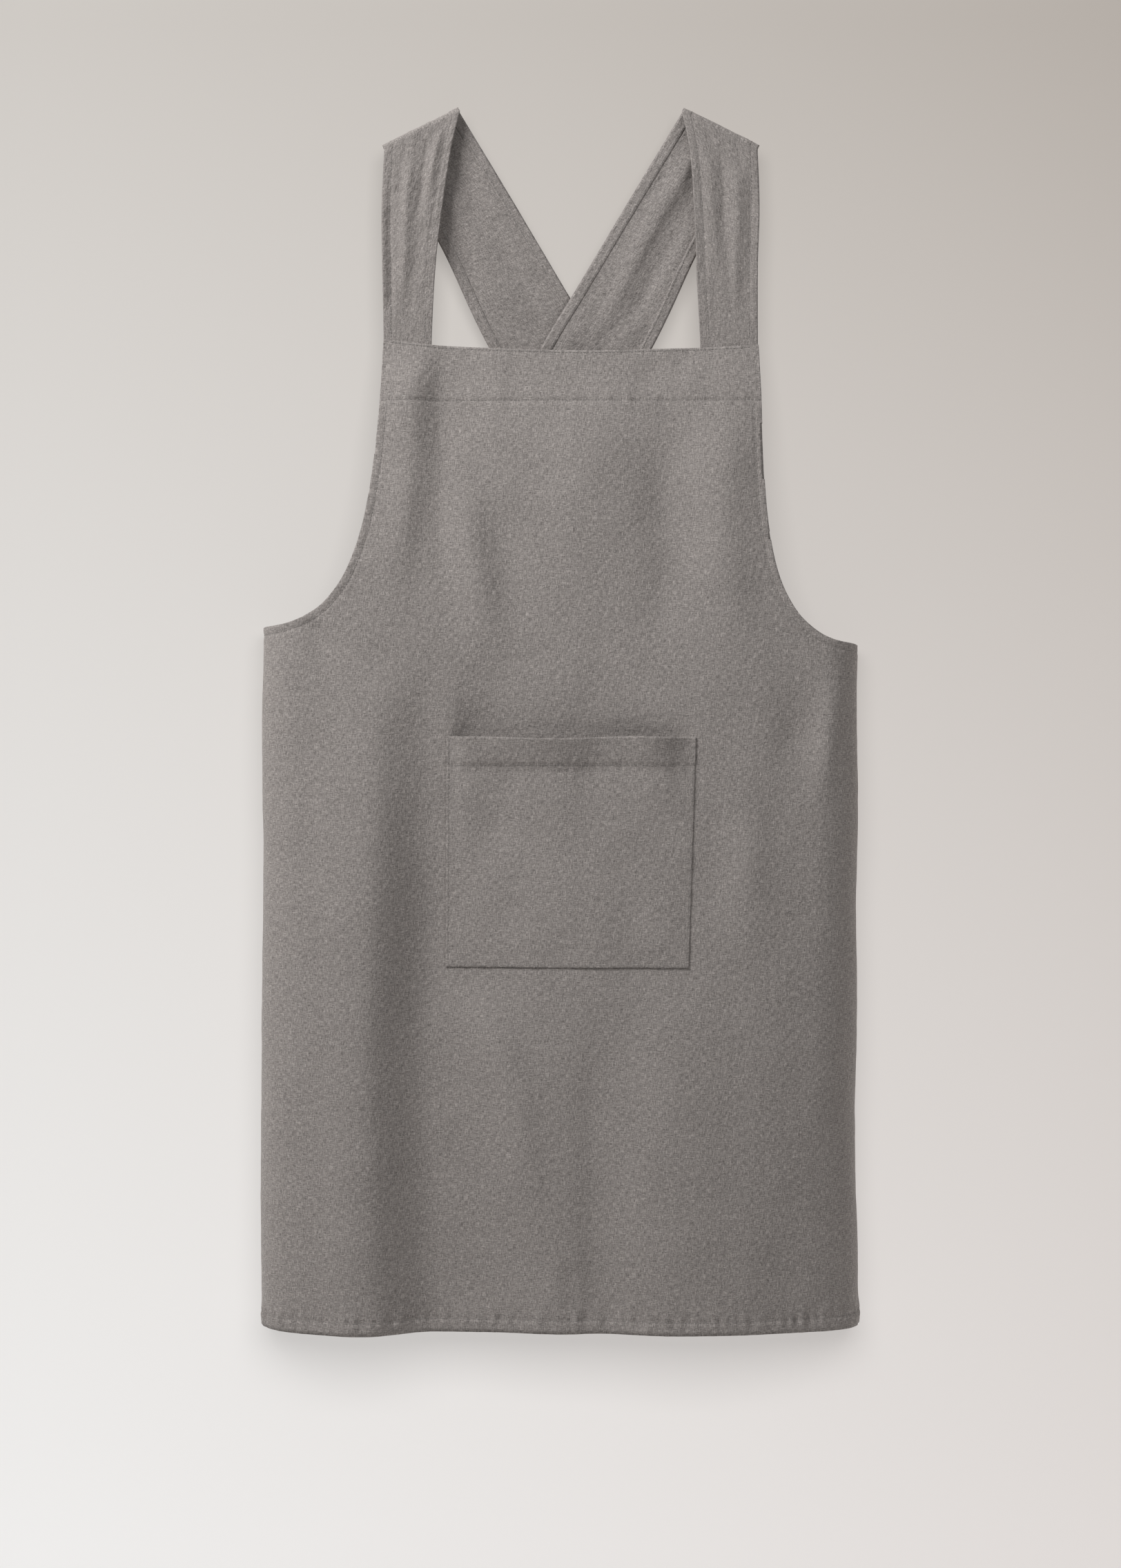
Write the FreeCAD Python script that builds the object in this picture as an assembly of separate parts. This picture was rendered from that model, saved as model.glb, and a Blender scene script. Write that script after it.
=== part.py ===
"""Cross-back linen apron hanging on two wall hooks.

Millimetres, +Z up. The wall is the plane y = 0 and the apron hangs in front of it, at y < 0.
The origin is midway between the two hook plates, on the wall. Left and right are as seen from
the front. Layers of cloth lie one behind the other with a small gap between plies.
"""
import FreeCAD, Part
import math
import os

V = FreeCAD.Vector

# ---- cloth -----------------------------------------------------------------------------------
cloth = 0.8                   # thickness of one ply of linen
ply_gap = 0.3                 # room between two plies, or between cloth and hook
thread = 0.3                  # thickness of a row of stitches
stitch_width = 0.6            # width of a row of stitches
layer = cloth + ply_gap       # depth from one ply to the next

# ---- wall hooks ------------------------------------------------------------------------------
plate_size = (18.0, 3.0, 44.0)     # width, thickness, height
plate_corner = 4.0                 # corner radius
plate_spacing = 306.0              # distance between the two plates
screw_radius = 2.25
screw_spacing = 30.0               # between the two holes of a plate
rod_radius = 2.5
rod_reach = 26.0                   # from the wall to the middle of the rod
rod_bend = 8.0                     # bend from reaching out to going up
rod_turn = 10.0                    # bend from going up to lying under the fold
rod_end_gap = 3.0                  # the rod stops this short of the strap's inner edge

# ---- straps: x is the distance from the middle, z the height ---------------------------------
ridge_outer = (171.0, 82.0)        # top of the fold at the strap's outer edge
ridge_inner = (102.5, 116.0)       # top of the fold at its inner edge
front_inner_edge = [(109.5, 71.0), (118.0, 0.0)]
front_outer_edge = [(170.8, 25.0)]
strap_at_bib = (121.0, 169.5)      # inner and outer edge where the strap meets the bib
strap_tuck = 18.0                  # length of strap end sewn behind the bib
back_upper_edge = (0.0, -55.4)     # the back leg's upper edge passes through this point
back_lower_edge = (-118.5, -8.0)   # and its lower edge turns slightly here
back_at_bib = (24.0, -77.0)        # upper and lower edge at the height of the bib's corner
back_lean = {"left": 0.035, "right": 0.006}    # how fast each back leg leans to the wall
lower_spread = (0.57, 0.55)        # sideways run of the two edges for each unit of drop
lower_setback = {"left": 10.5, "right": 5.0}   # lower straps at bib height: how far behind the rods
strap_hem = 10.0
strap_overlap = 25.0               # length sewn to the top of the back panel

# ---- front panel -----------------------------------------------------------------------------
bib_corner = -95.0                 # height of the bib's left corner, and of the swing axis
bib_corner_right = -100.0
bib_sag = -105.0                   # height of the top edge at the middle
side_left = -279.5                 # side folds
side_right = 258.5
waist_left = -355.0                # heights where the armholes reach the side folds
waist_right = -371.0
bottom = -983.5
front_depth = {"waist": -62.0, "bottom": -88.0}    # y of the outer face; the bib's follows the straps
side_depth = -26.0                 # y where the rounded front corner ends
back_fold = 10.0                   # radius of the fold to the back
left_armhole = [(-171.4, -138.0), (-180.0, -226.5), (-199.7, -301.7), (-227.4, -338.3), (-250.0, -350.2)]
right_armhole = [(171.1, -138.0), (172.7, -226.5), (183.7, -301.7), (209.5, -351.0), (240.0, -367.9)]
facing_depth = 58.0                # height of the turned band at the top of the bib
armhole_hem = (8.5, 7.0)           # sideways and downward width of the armhole hems
bottom_hem = 13.5
edge_stitch = 2.0                  # distance of edge stitching from an edge
swing_gap = 0.5                    # room between the strap ends and the facing round them

# ---- back panels -----------------------------------------------------------------------------
back_depth = -8.0                  # y of their outer face, towards the wall
seam_inset = 35.0                  # the side seams lie this far behind the side folds
seam_width = 10.0
back_edge = 70.0                   # distance of their free edges from the middle
back_hem = 10.0

# ---- pocket ----------------------------------------------------------------------------------
pocket_top = -454.5
pocket_bottom = -660.0
pocket_x_top = (-110.3, 111.0)
pocket_x_bottom = (-111.5, 104.0)
pocket_gape = 11.0                 # how far the mouth stands off at its middle
pocket_flat = 0.6                  # and the bottom
pocket_band = 26.0
pocket_facing_inset = 11.0         # the turned band stops short of the pocket's sides

rod_depth = -rod_reach
fold_hem_radius = rod_radius + ply_gap
fold_inner = fold_hem_radius + layer
fold_outer = fold_inner + cloth
bib_depth = rod_depth - fold_outer - layer     # outer face of the bib, in front of the strap ends


def polygon_sheet(points, thickness, depth):
    """Flat piece of cloth: a polygon of (x, z) points at y = depth(x, z), thickened along +Y."""
    corners = [V(x, depth(x, z), z) for x, z in points]
    return Part.Face(Part.makePolygon(corners + corners[:1])).extrude(V(0, thickness, 0))


def flat_at(y):
    """Depth function of a sheet that is parallel to the wall."""
    return lambda x, z: y


def block(x_range, y_range, z_range):
    """Box between two corners."""
    size = [abs(high - low) for low, high in (x_range, y_range, z_range)]
    return Part.makeBox(*size, V(min(x_range), min(y_range), min(z_range)))


def through(face):
    """Prism that cuts all the way through the apron, from a face in the plane y = 0."""
    prism = face.extrude(V(0, 400, 0))
    prism.translate(V(0, -200, 0))
    return prism


def join(pieces):
    """One solid from pieces that share faces."""
    return pieces[0].fuse(pieces[1:]).removeSplitter()


# ---- wall hooks ------------------------------------------------------------------------------
def hook_plate(side):
    width, thick, height = plate_size
    middle = side * plate_spacing / 2
    plate = Part.makeBox(width, thick, height, V(middle - width / 2, -thick, -height / 2))
    upright = [e for e in plate.Edges if abs(e.tangentAt(e.FirstParameter).y) > 0.99]
    plate = plate.makeFillet(plate_corner, upright)
    for z in (-screw_spacing / 2, screw_spacing / 2):
        hole = Part.makeCylinder(screw_radius, thick + 2, V(middle, -thick - 1, z), V(0, 1, 0))
        plate = plate.cut(hole)
    return plate


def ridge(side):
    """Axis of a strap's fold: its outer end, its direction, its upward normal and its length."""
    outer = V(side * ridge_outer[0], rod_depth, ridge_outer[1])
    inner = V(side * ridge_inner[0], rod_depth, ridge_inner[1])
    along = (inner - outer).normalize()
    up = V(side * along.z, 0, -side * along.x)
    return outer - up * fold_outer, along, up, (inner - outer).Length


def hook_rod(side):
    """Round rod: out from the plate, up, and along under the fold of the strap."""
    start, along, up, length = ridge(side)
    x = side * plate_spacing / 2
    corner = start + along * ((x - start.x) / along.x)
    turn = math.acos(along.z)
    tangent = rod_turn * math.tan(turn / 2)
    turn_start = corner - V(0, 0, tangent)
    turn_end = corner + along * tangent
    towards = (turn_start + turn_end) * 0.5 - corner
    centre_distance = rod_turn / math.cos(turn / 2)
    turn_middle = corner + towards.normalize() * (centre_distance - rod_turn)
    tip = start + along * (length - rod_end_gap)
    bend_45 = rod_bend * (1 - math.sqrt(0.5))
    points = [V(x, -plate_size[1], 0), V(x, rod_depth + rod_bend, 0), V(x, rod_depth, rod_bend)]
    path = Part.Wire([
        Part.makeLine(points[0], points[1]),
        Part.Arc(points[1], V(x, rod_depth + bend_45, bend_45), points[2]).toShape(),
        Part.makeLine(points[2], turn_start),
        Part.Arc(turn_start, turn_middle, turn_end).toShape(),
        Part.makeLine(turn_end, tip),
    ])
    circle = Part.Wire(Part.makeCircle(rod_radius, points[0], V(0, 1, 0)))
    return path.makePipeShell([circle], True, False)


# ---- straps ----------------------------------------------------------------------------------
def fold(side, inner, outer, start, length):
    """Half ring round the fold's axis: a stretch of the ridge, from start, of the given length."""
    origin, along, up, _ = ridge(side)
    centre = origin + along * start
    front, back = V(0, -1, 0), V(0, 1, 0)
    ring = Part.Wire([
        Part.Arc(centre + front * outer, centre + up * outer, centre + back * outer).toShape(),
        Part.makeLine(centre + back * outer, centre + back * inner),
        Part.Arc(centre + back * inner, centre + up * inner, centre + front * inner).toShape(),
        Part.makeLine(centre + front * inner, centre + front * outer),
    ])
    return Part.Face(ring).extrude(along * length)


def ridge_point(side, distance):
    """(x, z) of the fold's axis at a distance from its outer end."""
    origin, along, _, _ = ridge(side)
    point = origin + along * distance
    return point.x, point.z


def back_leg_depth(side, name, shift):
    """Depth of a back leg: it leans to the wall with the distance below the fold's axis."""
    origin, _, up, _ = ridge(side)
    top = rod_depth + fold_inner + shift
    return lambda x, z: top + back_lean[name] * (origin - V(x, rod_depth, z)).dot(up)


def edges_of_front_leg(side):
    """Outer and inner edge of the front leg below the fold, from the top down."""
    low = bib_corner - strap_tuck
    edges = []
    for points, at_bib in ((front_outer_edge, strap_at_bib[1]), (front_inner_edge, strap_at_bib[0])):
        edges.append([(side * x, z) for x, z in points + [(at_bib, bib_corner), (at_bib, low)]])
    return edges


def edges_of_back_leg(side):
    """Lower and upper edge of the back leg, from the fold down to the height of the bib."""
    lower = [(-side * back_lower_edge[0], back_lower_edge[1]), (-side * back_at_bib[1], bib_corner)]
    upper = [(side * back_upper_edge[0], back_upper_edge[1]), (-side * back_at_bib[0], bib_corner)]
    return lower, upper


def strap_strip(side, edge, start, width, depth, thickness):
    """Strip along one edge of a leg; start is the edge's place on the ridge, width may be negative."""
    near = [ridge_point(side, start)] + edge
    far = [ridge_point(side, start + width)] + [(x - side * width, z) for x, z in edge]
    return polygon_sheet(near + far[::-1], thickness, depth)


def strap(side, name):
    _, _, _, length = ridge(side)
    top = [ridge_point(side, 0), ridge_point(side, length)]
    outer, inner = edges_of_front_leg(side)
    lower, upper = edges_of_back_leg(side)
    front = polygon_sheet(top[:1] + outer + inner[::-1] + top[1:], cloth, flat_at(rod_depth - fold_outer))
    back = polygon_sheet(top[:1] + lower + upper[::-1] + top[1:], cloth, back_leg_depth(side, name, 0))
    return join([front, fold(side, fold_inner, fold_outer, 0, length), back])


def strap_hems(side, name):
    """The turned hems of both long edges, on the strap's inner side, next to the hook."""
    _, _, _, length = ridge(side)
    outer, inner = edges_of_front_leg(side)
    lower, upper = edges_of_back_leg(side)
    hem_front = flat_at(rod_depth - fold_hem_radius - cloth)
    hem_back = back_leg_depth(side, name, -layer)
    hems = []
    for front_edge, back_edge_line, start, width, first in (
            (outer, lower, 0, strap_hem, 0), (inner, upper, length, -strap_hem, length - strap_hem)):
        hems.append(join([
            strap_strip(side, front_edge, start, width, hem_front, cloth),
            fold(side, fold_hem_radius, fold_hem_radius + cloth, first, strap_hem),
            strap_strip(side, back_edge_line, start, width, hem_back, cloth),
        ]))
    return Part.makeCompound(hems)


def strap_stitching(side, name):
    """Rows of stitches along the inner side of the hems, seen on the strap's outer face."""
    _, _, _, length = ridge(side)
    outer, inner = edges_of_front_leg(side)
    lower, upper = edges_of_back_leg(side)
    inset = strap_hem - edge_stitch
    front_face = flat_at(rod_depth - fold_outer - ply_gap - thread)
    back_face = back_leg_depth(side, name, layer)
    outer_radius = fold_outer + ply_gap
    rows = []
    for front_edge, back_edge_line, start, step in ((outer, lower, 0, 1), (inner, upper, length, -1)):
        shifted_front = [(x - side * step * inset, z) for x, z in front_edge[:-1]]
        shifted_back = [(x - side * step * inset, z) for x, z in back_edge_line]
        first = start + step * inset
        low_end = min(first, first + step * stitch_width)
        rows.append(join([
            strap_strip(side, shifted_front, first, step * stitch_width, front_face, thread),
            fold(side, outer_radius, outer_radius + thread, low_end, stitch_width),
            strap_strip(side, shifted_back, first, step * stitch_width, back_face, thread),
        ]))
    above_bib = block((-400, 400), (-200, 100), (bib_corner + edge_stitch, 200))
    return Part.makeCompound(rows).common(above_bib)


def wing_top(side):
    """Height of the back panel that a strap from the given side runs to, on the other side."""
    return waist_right if side < 0 else waist_left


def lower_strap_depth(side, name, shift):
    """Depth of a lower strap: straight from bib height to the back panel's top hem."""
    end = back_depth - cloth - 2 * layer
    drop = bib_corner - wing_top(side)
    start = rod_depth + lower_setback[name]
    slope = (end - start) / drop
    return lambda x, z: start + shift + slope * min(bib_corner - z, drop)


def lower_edges(side):
    """Upper and lower edge of a lower strap, each as a function of height."""
    upper = lambda z: -side * (back_at_bib[0] + lower_spread[0] * (bib_corner - z))
    lower = lambda z: -side * (back_at_bib[1] + lower_spread[1] * (bib_corner - z))
    return upper, lower


def lower_band(side, name, shift, thickness, offsets):
    """Band of a lower strap between two offsets from its edges, bent where it meets the back panel."""
    upper, lower = lower_edges(side)
    depth = lower_strap_depth(side, name, shift)
    (edge_a, offset_a), (edge_b, offset_b) = [((upper if line == "upper" else lower), offset)
                                              for line, offset in offsets]
    stretches = []
    levels = [bib_corner, wing_top(side), wing_top(side) - strap_overlap]
    for high, low in zip(levels, levels[1:]):
        points = [(edge_a(high) + side * offset_a, high), (edge_a(low) + side * offset_a, low),
                  (edge_b(low) + side * offset_b, low), (edge_b(high) + side * offset_b, high)]
        stretches.append(polygon_sheet(points, thickness, depth))
    return join(stretches)


def strap_lower(side, name):
    return lower_band(side, name, 0, cloth, [("upper", 0), ("lower", 0)])


def strap_lower_hems(side, name):
    return Part.makeCompound([
        lower_band(side, name, -layer, cloth, [("upper", 0), ("upper", strap_hem)]),
        lower_band(side, name, -layer, cloth, [("lower", 0), ("lower", -strap_hem)]),
    ])


# ---- front panel -----------------------------------------------------------------------------
def front_depth_at(z):
    """y of the outer face of the flat middle of the front panel."""
    middle = (waist_left, front_depth["waist"])
    if z > waist_left:
        first, second = (bib_corner, bib_depth), middle
    else:
        first, second = middle, (bottom, front_depth["bottom"])
    share = (first[0] - z) / (first[0] - second[0])
    return first[1] + share * (second[1] - first[1])


def half_path(side_x, sign, depth, offset):
    """Edges of half a section, from the side seam round the side fold to the front corner."""
    corner = side_depth - depth
    centre_x = side_x + sign * corner
    fold_x = side_x + sign * back_fold
    fold_y = back_depth - back_fold
    r_corner, r_fold = corner - offset, back_fold - offset
    diagonal = math.sqrt(0.5)
    seam = V(side_x + sign * seam_inset, back_depth - offset, 0)
    fold_end = V(fold_x, back_depth - offset, 0)
    fold_middle = V(fold_x - sign * r_fold * diagonal, fold_y + r_fold * diagonal, 0)
    fold_start = V(side_x + sign * offset, fold_y, 0)
    corner_end = V(side_x + sign * offset, side_depth, 0)
    corner_middle = V(centre_x - sign * r_corner * diagonal, side_depth - r_corner * diagonal, 0)
    corner_start = V(centre_x, depth + offset, 0)
    return [("line", seam, fold_end), ("arc", fold_end, fold_middle, fold_start),
            ("line", fold_start, corner_end), ("arc", corner_end, corner_middle, corner_start)]


def section_wire(z, outer, inner):
    """Closed section of the front panel at a height, between two offsets from its outer face."""
    depth = front_depth_at(z)
    steps = []
    for offset, forward in ((outer, True), (inner, False)):
        left = half_path(side_left, 1, depth, offset)
        right = half_path(side_right, -1, depth, offset)
        across = [("line", left[-1][-1], right[-1][-1])]
        path = left + across + [(s[0],) + s[:0:-1] for s in reversed(right)]
        steps += path if forward else [(s[0],) + s[:0:-1] for s in reversed(path)]
        if forward:
            steps.append(None)
    gap = steps.index(None)
    steps[gap] = ("line", steps[gap - 1][-1], steps[gap + 1][1])
    steps.append(("line", steps[-1][-1], steps[0][1]))
    edges = []
    for kind, *points in steps:
        points = [V(p.x, p.y, z) for p in points]
        edges.append(Part.makeLine(*points) if kind == "line" else Part.Arc(*points).toShape())
    return Part.Wire(edges)


def front_shell(outer, inner):
    """Full-height shell between two offsets behind the outer face of the front panel."""
    levels = (bib_corner, waist_left, bottom)
    return Part.makeLoft([section_wire(z, outer, inner) for z in levels], True, True)


def spline(points):
    curve = Part.BSplineCurve()
    curve.interpolate([V(x, 0, z) for x, z in points])
    return curve.toShape()


def outline(drop=0.0, inset_x=0.0, side=0):
    """Front outline of the panel as a face; it may be shifted in from one side and down."""
    beyond = 40.0
    top_left, top_right = (strap_at_bib[1] * -1, bib_corner), (strap_at_bib[1], bib_corner_right)
    left_corner, right_corner = (side_left, waist_left), (side_right, waist_right)
    lines = [(right_corner, (side_right + beyond, waist_right)),
             ((side_right + beyond, waist_right), (side_right + beyond, bottom)),
             ((side_right + beyond, bottom), (side_left - beyond, bottom)),
             ((side_left - beyond, bottom), (side_left - beyond, waist_left)),
             ((side_left - beyond, waist_left), left_corner)]
    top_points = [V(x, 0, z) for x, z in (top_left, (0, bib_sag), top_right)]
    edges = [Part.Arc(*top_points).toShape(), spline([top_right] + right_armhole + [right_corner])]
    edges += [Part.makeLine(V(a[0], 0, a[1]), V(b[0], 0, b[1])) for a, b in lines]
    edges.append(spline([left_corner] + left_armhole[::-1] + [top_left]))
    face = Part.Face(Part.Wire(edges))
    face.translate(V(-side * inset_x, 0, -drop))
    return face


def along_armhole(side, near, far):
    """Prism of the strip between two shares of the armhole hem's width, below the bib's facing."""
    width, height = armhole_hem
    outer, inner = (through(outline(height * share, width * share, side)) for share in (near, far))
    strip = outer.cut(inner)
    side_range = (side_left - 5, 0) if side < 0 else (0, side_right + 5)
    below = block(side_range, (-200, 200), (bottom + bottom_hem, bib_corner - facing_depth - ply_gap))
    return strip.common(below)


def across(z_low, z_high, x_range=(-400, 400)):
    return block(x_range, (-200, 100), (z_low, z_high))


def front_panel():
    return front_shell(0, cloth).common(through(outline()))


def bib_facing():
    """Deep turned band behind the top of the bib, let in round the two strap ends."""
    facing = front_shell(layer, layer + cloth).common(through(outline()))
    facing = facing.common(across(bib_corner - facing_depth, bib_corner + 1))
    for side in (-1, 1):
        inner = side * (strap_at_bib[0] - swing_gap)
        outer = side * (strap_at_bib[1] + 8)
        facing = facing.cut(across(bib_corner - strap_tuck - swing_gap, bib_corner + 1, (inner, outer)))
    return facing


def armhole_hem_piece(side):
    """Turned hem of one armhole; behind the side fold it stops short of the side seam."""
    seam, _, _ = back_panel_bounds(side)
    stop = seam + side * (seam_width / 2 + ply_gap)
    seam_area = block((stop, 0), (side_depth, -side_depth), (bottom, 0))
    return front_shell(layer, layer + cloth).common(along_armhole(side, 0, 1)).cut(seam_area)


def stitch_shell():
    return front_shell(-ply_gap - thread, -ply_gap)


def bib_stitching():
    """Edge stitching along the top of the bib, and the row that holds the lower edge of its facing."""
    shell = stitch_shell()
    top_row = through(outline(edge_stitch)).cut(through(outline(edge_stitch + stitch_width)))
    half = strap_at_bib[1] - edge_stitch
    bib = across(bib_corner - facing_depth, bib_corner, (-half, half))
    low = bib_corner - facing_depth + edge_stitch
    band_row = across(low, low + stitch_width).common(through(outline()))
    return Part.makeCompound([shell.common(top_row).common(bib), shell.common(band_row)])


def armhole_stitching():
    shell = stitch_shell()
    share = 1 - edge_stitch / armhole_hem[0]
    rows = [shell.common(along_armhole(side, share, share + stitch_width / armhole_hem[0])) for side in (-1, 1)]
    return Part.makeCompound(rows)


def bottom_row():
    return bottom + bottom_hem - edge_stitch


def hem_stitching():
    return stitch_shell().common(across(bottom_row(), bottom_row() + stitch_width))


# ---- pocket ----------------------------------------------------------------------------------
def pocket_section(z, outer, inner, inset):
    """Section of the pocket: a shallow bow that meets the front panel at its two ends."""
    share = (pocket_top - z) / (pocket_top - pocket_bottom)
    left = pocket_x_top[0] + share * (pocket_x_bottom[0] - pocket_x_top[0])
    right = pocket_x_top[1] + share * (pocket_x_bottom[1] - pocket_x_top[1])
    gape = pocket_gape + share * (pocket_flat - pocket_gape)
    base = front_depth_at(z) - ply_gap
    half, middle = (right - left) / 2, (left + right) / 2
    curve_radius = (half ** 2 + gape ** 2) / (2 * gape)
    centre_y = base - gape + curve_radius

    def bow_point(x, offset):
        return V(x, centre_y - math.sqrt((curve_radius + offset) ** 2 - (x - middle) ** 2), z)

    ends = (left + inset, right - inset)
    bows = [[bow_point(x, offset) for x in (ends[0], middle, ends[1])] for offset in (outer, inner)]
    return Part.Wire([
        Part.Arc(*bows[0]).toShape(), Part.makeLine(bows[0][2], bows[1][2]),
        Part.Arc(*bows[1][::-1]).toShape(), Part.makeLine(bows[1][0], bows[0][0]),
    ])


def pocket_shell(outer, inner, z_top, z_bottom, inset):
    return Part.makeLoft([pocket_section(z, outer, inner, inset) for z in (z_top, z_bottom)], True, True)


def pocket_panel():
    return pocket_shell(cloth, 0, pocket_top, pocket_bottom, 0)


def pocket_facing():
    """The mouth's turned band, inside the pocket."""
    return pocket_shell(-ply_gap, -layer, pocket_top - ply_gap, pocket_top - pocket_band, pocket_facing_inset)


def pocket_stitching():
    """Rows along both sides and the bottom, and the row that holds the mouth's band."""
    shell = pocket_shell(cloth + ply_gap + thread, cloth + ply_gap, pocket_top, pocket_bottom, 0)
    inset = edge_stitch
    rows = []
    for side, end in ((0, 1), (1, -1)):
        top, low = pocket_x_top[side] + end * inset, pocket_x_bottom[side] + end * inset
        points = [(top, pocket_top), (top + end * stitch_width, pocket_top),
                  (low + end * stitch_width, pocket_bottom + inset), (low, pocket_bottom + inset)]
        rows.append(polygon_sheet(points, 400, flat_at(-200)))
    x_range = (pocket_x_bottom[0] + inset, pocket_x_bottom[1] - inset)
    rows.append(across(pocket_bottom + inset, pocket_bottom + inset + stitch_width, x_range))
    row = pocket_top - pocket_band + edge_stitch
    rows.append(across(row, row + stitch_width, (pocket_x_top[0] + inset, pocket_x_bottom[1] - inset)))
    return shell.common(join(rows))


# ---- back panels -----------------------------------------------------------------------------
def back_panel_bounds(side):
    """Seam x, free edge x and top height of a back panel."""
    seam = side_left + seam_inset if side < 0 else side_right - seam_inset
    return seam, side * back_edge, waist_left if side < 0 else waist_right


def back_panel(side):
    seam, edge, top = back_panel_bounds(side)
    return block((seam, edge), (back_depth - cloth, back_depth), (bottom, top))


def inside_depth(ply):
    """y range of a ply on the inner side of the back panels."""
    front = back_depth - cloth - ply * layer
    return front, front + cloth


def side_seam(side):
    seam, _, top = back_panel_bounds(side)
    return block((seam - seam_width / 2, seam + seam_width / 2), inside_depth(1),
                 (bottom + bottom_hem + ply_gap, top - back_hem - ply_gap))


def back_top_hem(side):
    seam, edge, top = back_panel_bounds(side)
    return block((seam, edge), inside_depth(1), (top - back_hem, top))


def back_edge_hem(side):
    _, edge, top = back_panel_bounds(side)
    return block((edge, edge + side * back_hem), inside_depth(1),
                 (bottom + bottom_hem + ply_gap, top - back_hem - ply_gap))


def back_bottom_hem(side):
    seam, edge, _ = back_panel_bounds(side)
    return block((seam, edge), inside_depth(1), (bottom, bottom + bottom_hem))


def front_bottom_hem():
    return front_shell(layer, layer + cloth).common(across(bottom, bottom + bottom_hem))


def back_stitching():
    """Rows on the outer side of the back panels: top, free edge and bottom."""
    rows = []
    depth = (back_depth + ply_gap, back_depth + ply_gap + thread)
    for side in (-1, 1):
        seam, edge, top = back_panel_bounds(side)
        row_top = top - back_hem + edge_stitch
        row_edge = edge + side * (back_hem - edge_stitch)
        rows.append(join([
            block((seam, edge), depth, (row_top, row_top + stitch_width)),
            block((row_edge, row_edge + side * stitch_width), depth, (bottom_row(), row_top + stitch_width)),
            block((seam, edge), depth, (bottom_row(), bottom_row() + stitch_width)),
        ]))
    return Part.makeCompound(rows)


def strap_end_stitching():
    """Two rows across each strap end where it is sewn to a back panel."""
    rows = []
    for side in (-1, 1):
        upper, lower = lower_edges(side)
        front = back_depth - cloth - 3 * layer - ply_gap - thread
        for z in (wing_top(side) - edge_stitch, wing_top(side) - strap_overlap + edge_stitch):
            rows.append(block((upper(z), lower(z)), (front, front + thread), (z - stitch_width, z)))
    return Part.makeCompound(rows)


def export(name, shape):
    """Write one node and print how many solids it has and their volume."""
    solids = shape.Solids
    state = "valid" if shape.isValid() and solids else "FAULTY"
    print(f"{name:26s} {len(solids):2d} {state} {shape.Volume:12.2f} mm3")
    shape = solids[0] if len(solids) == 1 else Part.makeCompound(solids)
    shape.exportStep(f"parts/{name}.step")


os.makedirs("parts", exist_ok=True)
for side, name in ((-1, "left"), (1, "right")):
    export(f"{name}_hook_plate", hook_plate(side))
    export(f"{name}_hook_rod", hook_rod(side))
    export(f"{name}_strap", strap(side, name))
    export(f"{name}_strap_hems", strap_hems(side, name))
    export(f"{name}_strap_stitching", strap_stitching(side, name))
    export(f"{name}_strap_lower", strap_lower(side, name))
    export(f"{name}_strap_lower_hems", strap_lower_hems(side, name))
    export(f"{name}_armhole_hem", armhole_hem_piece(side))
    export(f"{name}_back_panel", back_panel(side))
    export(f"{name}_side_seam", side_seam(side))
    export(f"{name}_back_top_hem", back_top_hem(side))
    export(f"{name}_back_edge_hem", back_edge_hem(side))
    export(f"{name}_back_bottom_hem", back_bottom_hem(side))
export("front_panel", front_panel())
export("bib_facing", bib_facing())
export("front_bottom_hem", front_bottom_hem())
export("pocket_panel", pocket_panel())
export("pocket_facing", pocket_facing())
export("bib_stitching", bib_stitching())
export("armhole_stitching", armhole_stitching())
export("hem_stitching", hem_stitching())
export("pocket_stitching", pocket_stitching())
export("back_stitching", back_stitching())
export("strap_end_stitching", strap_end_stitching())
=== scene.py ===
"""A cross-back linen apron hanging by its straps from two wall hooks.

Metres, +Z up, the wall at y = 0 and the cloth in front of it. Left and right are as seen from the
front. The sections follow the making: hooks, cloth, panel, hems, pocket, back, straps, stitching.
"""
import math

import bmesh
import bpy
import numpy as np
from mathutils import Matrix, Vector, noise


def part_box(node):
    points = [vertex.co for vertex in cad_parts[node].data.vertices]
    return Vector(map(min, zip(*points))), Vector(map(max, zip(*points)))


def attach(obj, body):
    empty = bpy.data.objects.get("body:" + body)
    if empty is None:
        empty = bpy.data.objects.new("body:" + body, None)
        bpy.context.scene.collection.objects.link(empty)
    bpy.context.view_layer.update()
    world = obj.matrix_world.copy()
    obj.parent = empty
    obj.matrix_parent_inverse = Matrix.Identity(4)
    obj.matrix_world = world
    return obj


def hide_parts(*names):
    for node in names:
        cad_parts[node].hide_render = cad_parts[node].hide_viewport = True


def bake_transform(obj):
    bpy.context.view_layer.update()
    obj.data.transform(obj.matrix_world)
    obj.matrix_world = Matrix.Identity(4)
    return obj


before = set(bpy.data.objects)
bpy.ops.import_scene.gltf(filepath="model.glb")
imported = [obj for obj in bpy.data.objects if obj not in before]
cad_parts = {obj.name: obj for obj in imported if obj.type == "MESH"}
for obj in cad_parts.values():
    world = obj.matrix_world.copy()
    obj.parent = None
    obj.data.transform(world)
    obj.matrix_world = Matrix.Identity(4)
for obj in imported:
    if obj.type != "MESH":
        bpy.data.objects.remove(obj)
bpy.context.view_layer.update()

# ---- wall hooks -------------------------------------------------------------------------------
# Two bent steel rods on small screw-on plates, powder-coated black. The folds of the straps hide
# them from the front. The CAD pieces have the right shape, so they only get their finish here.


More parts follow.
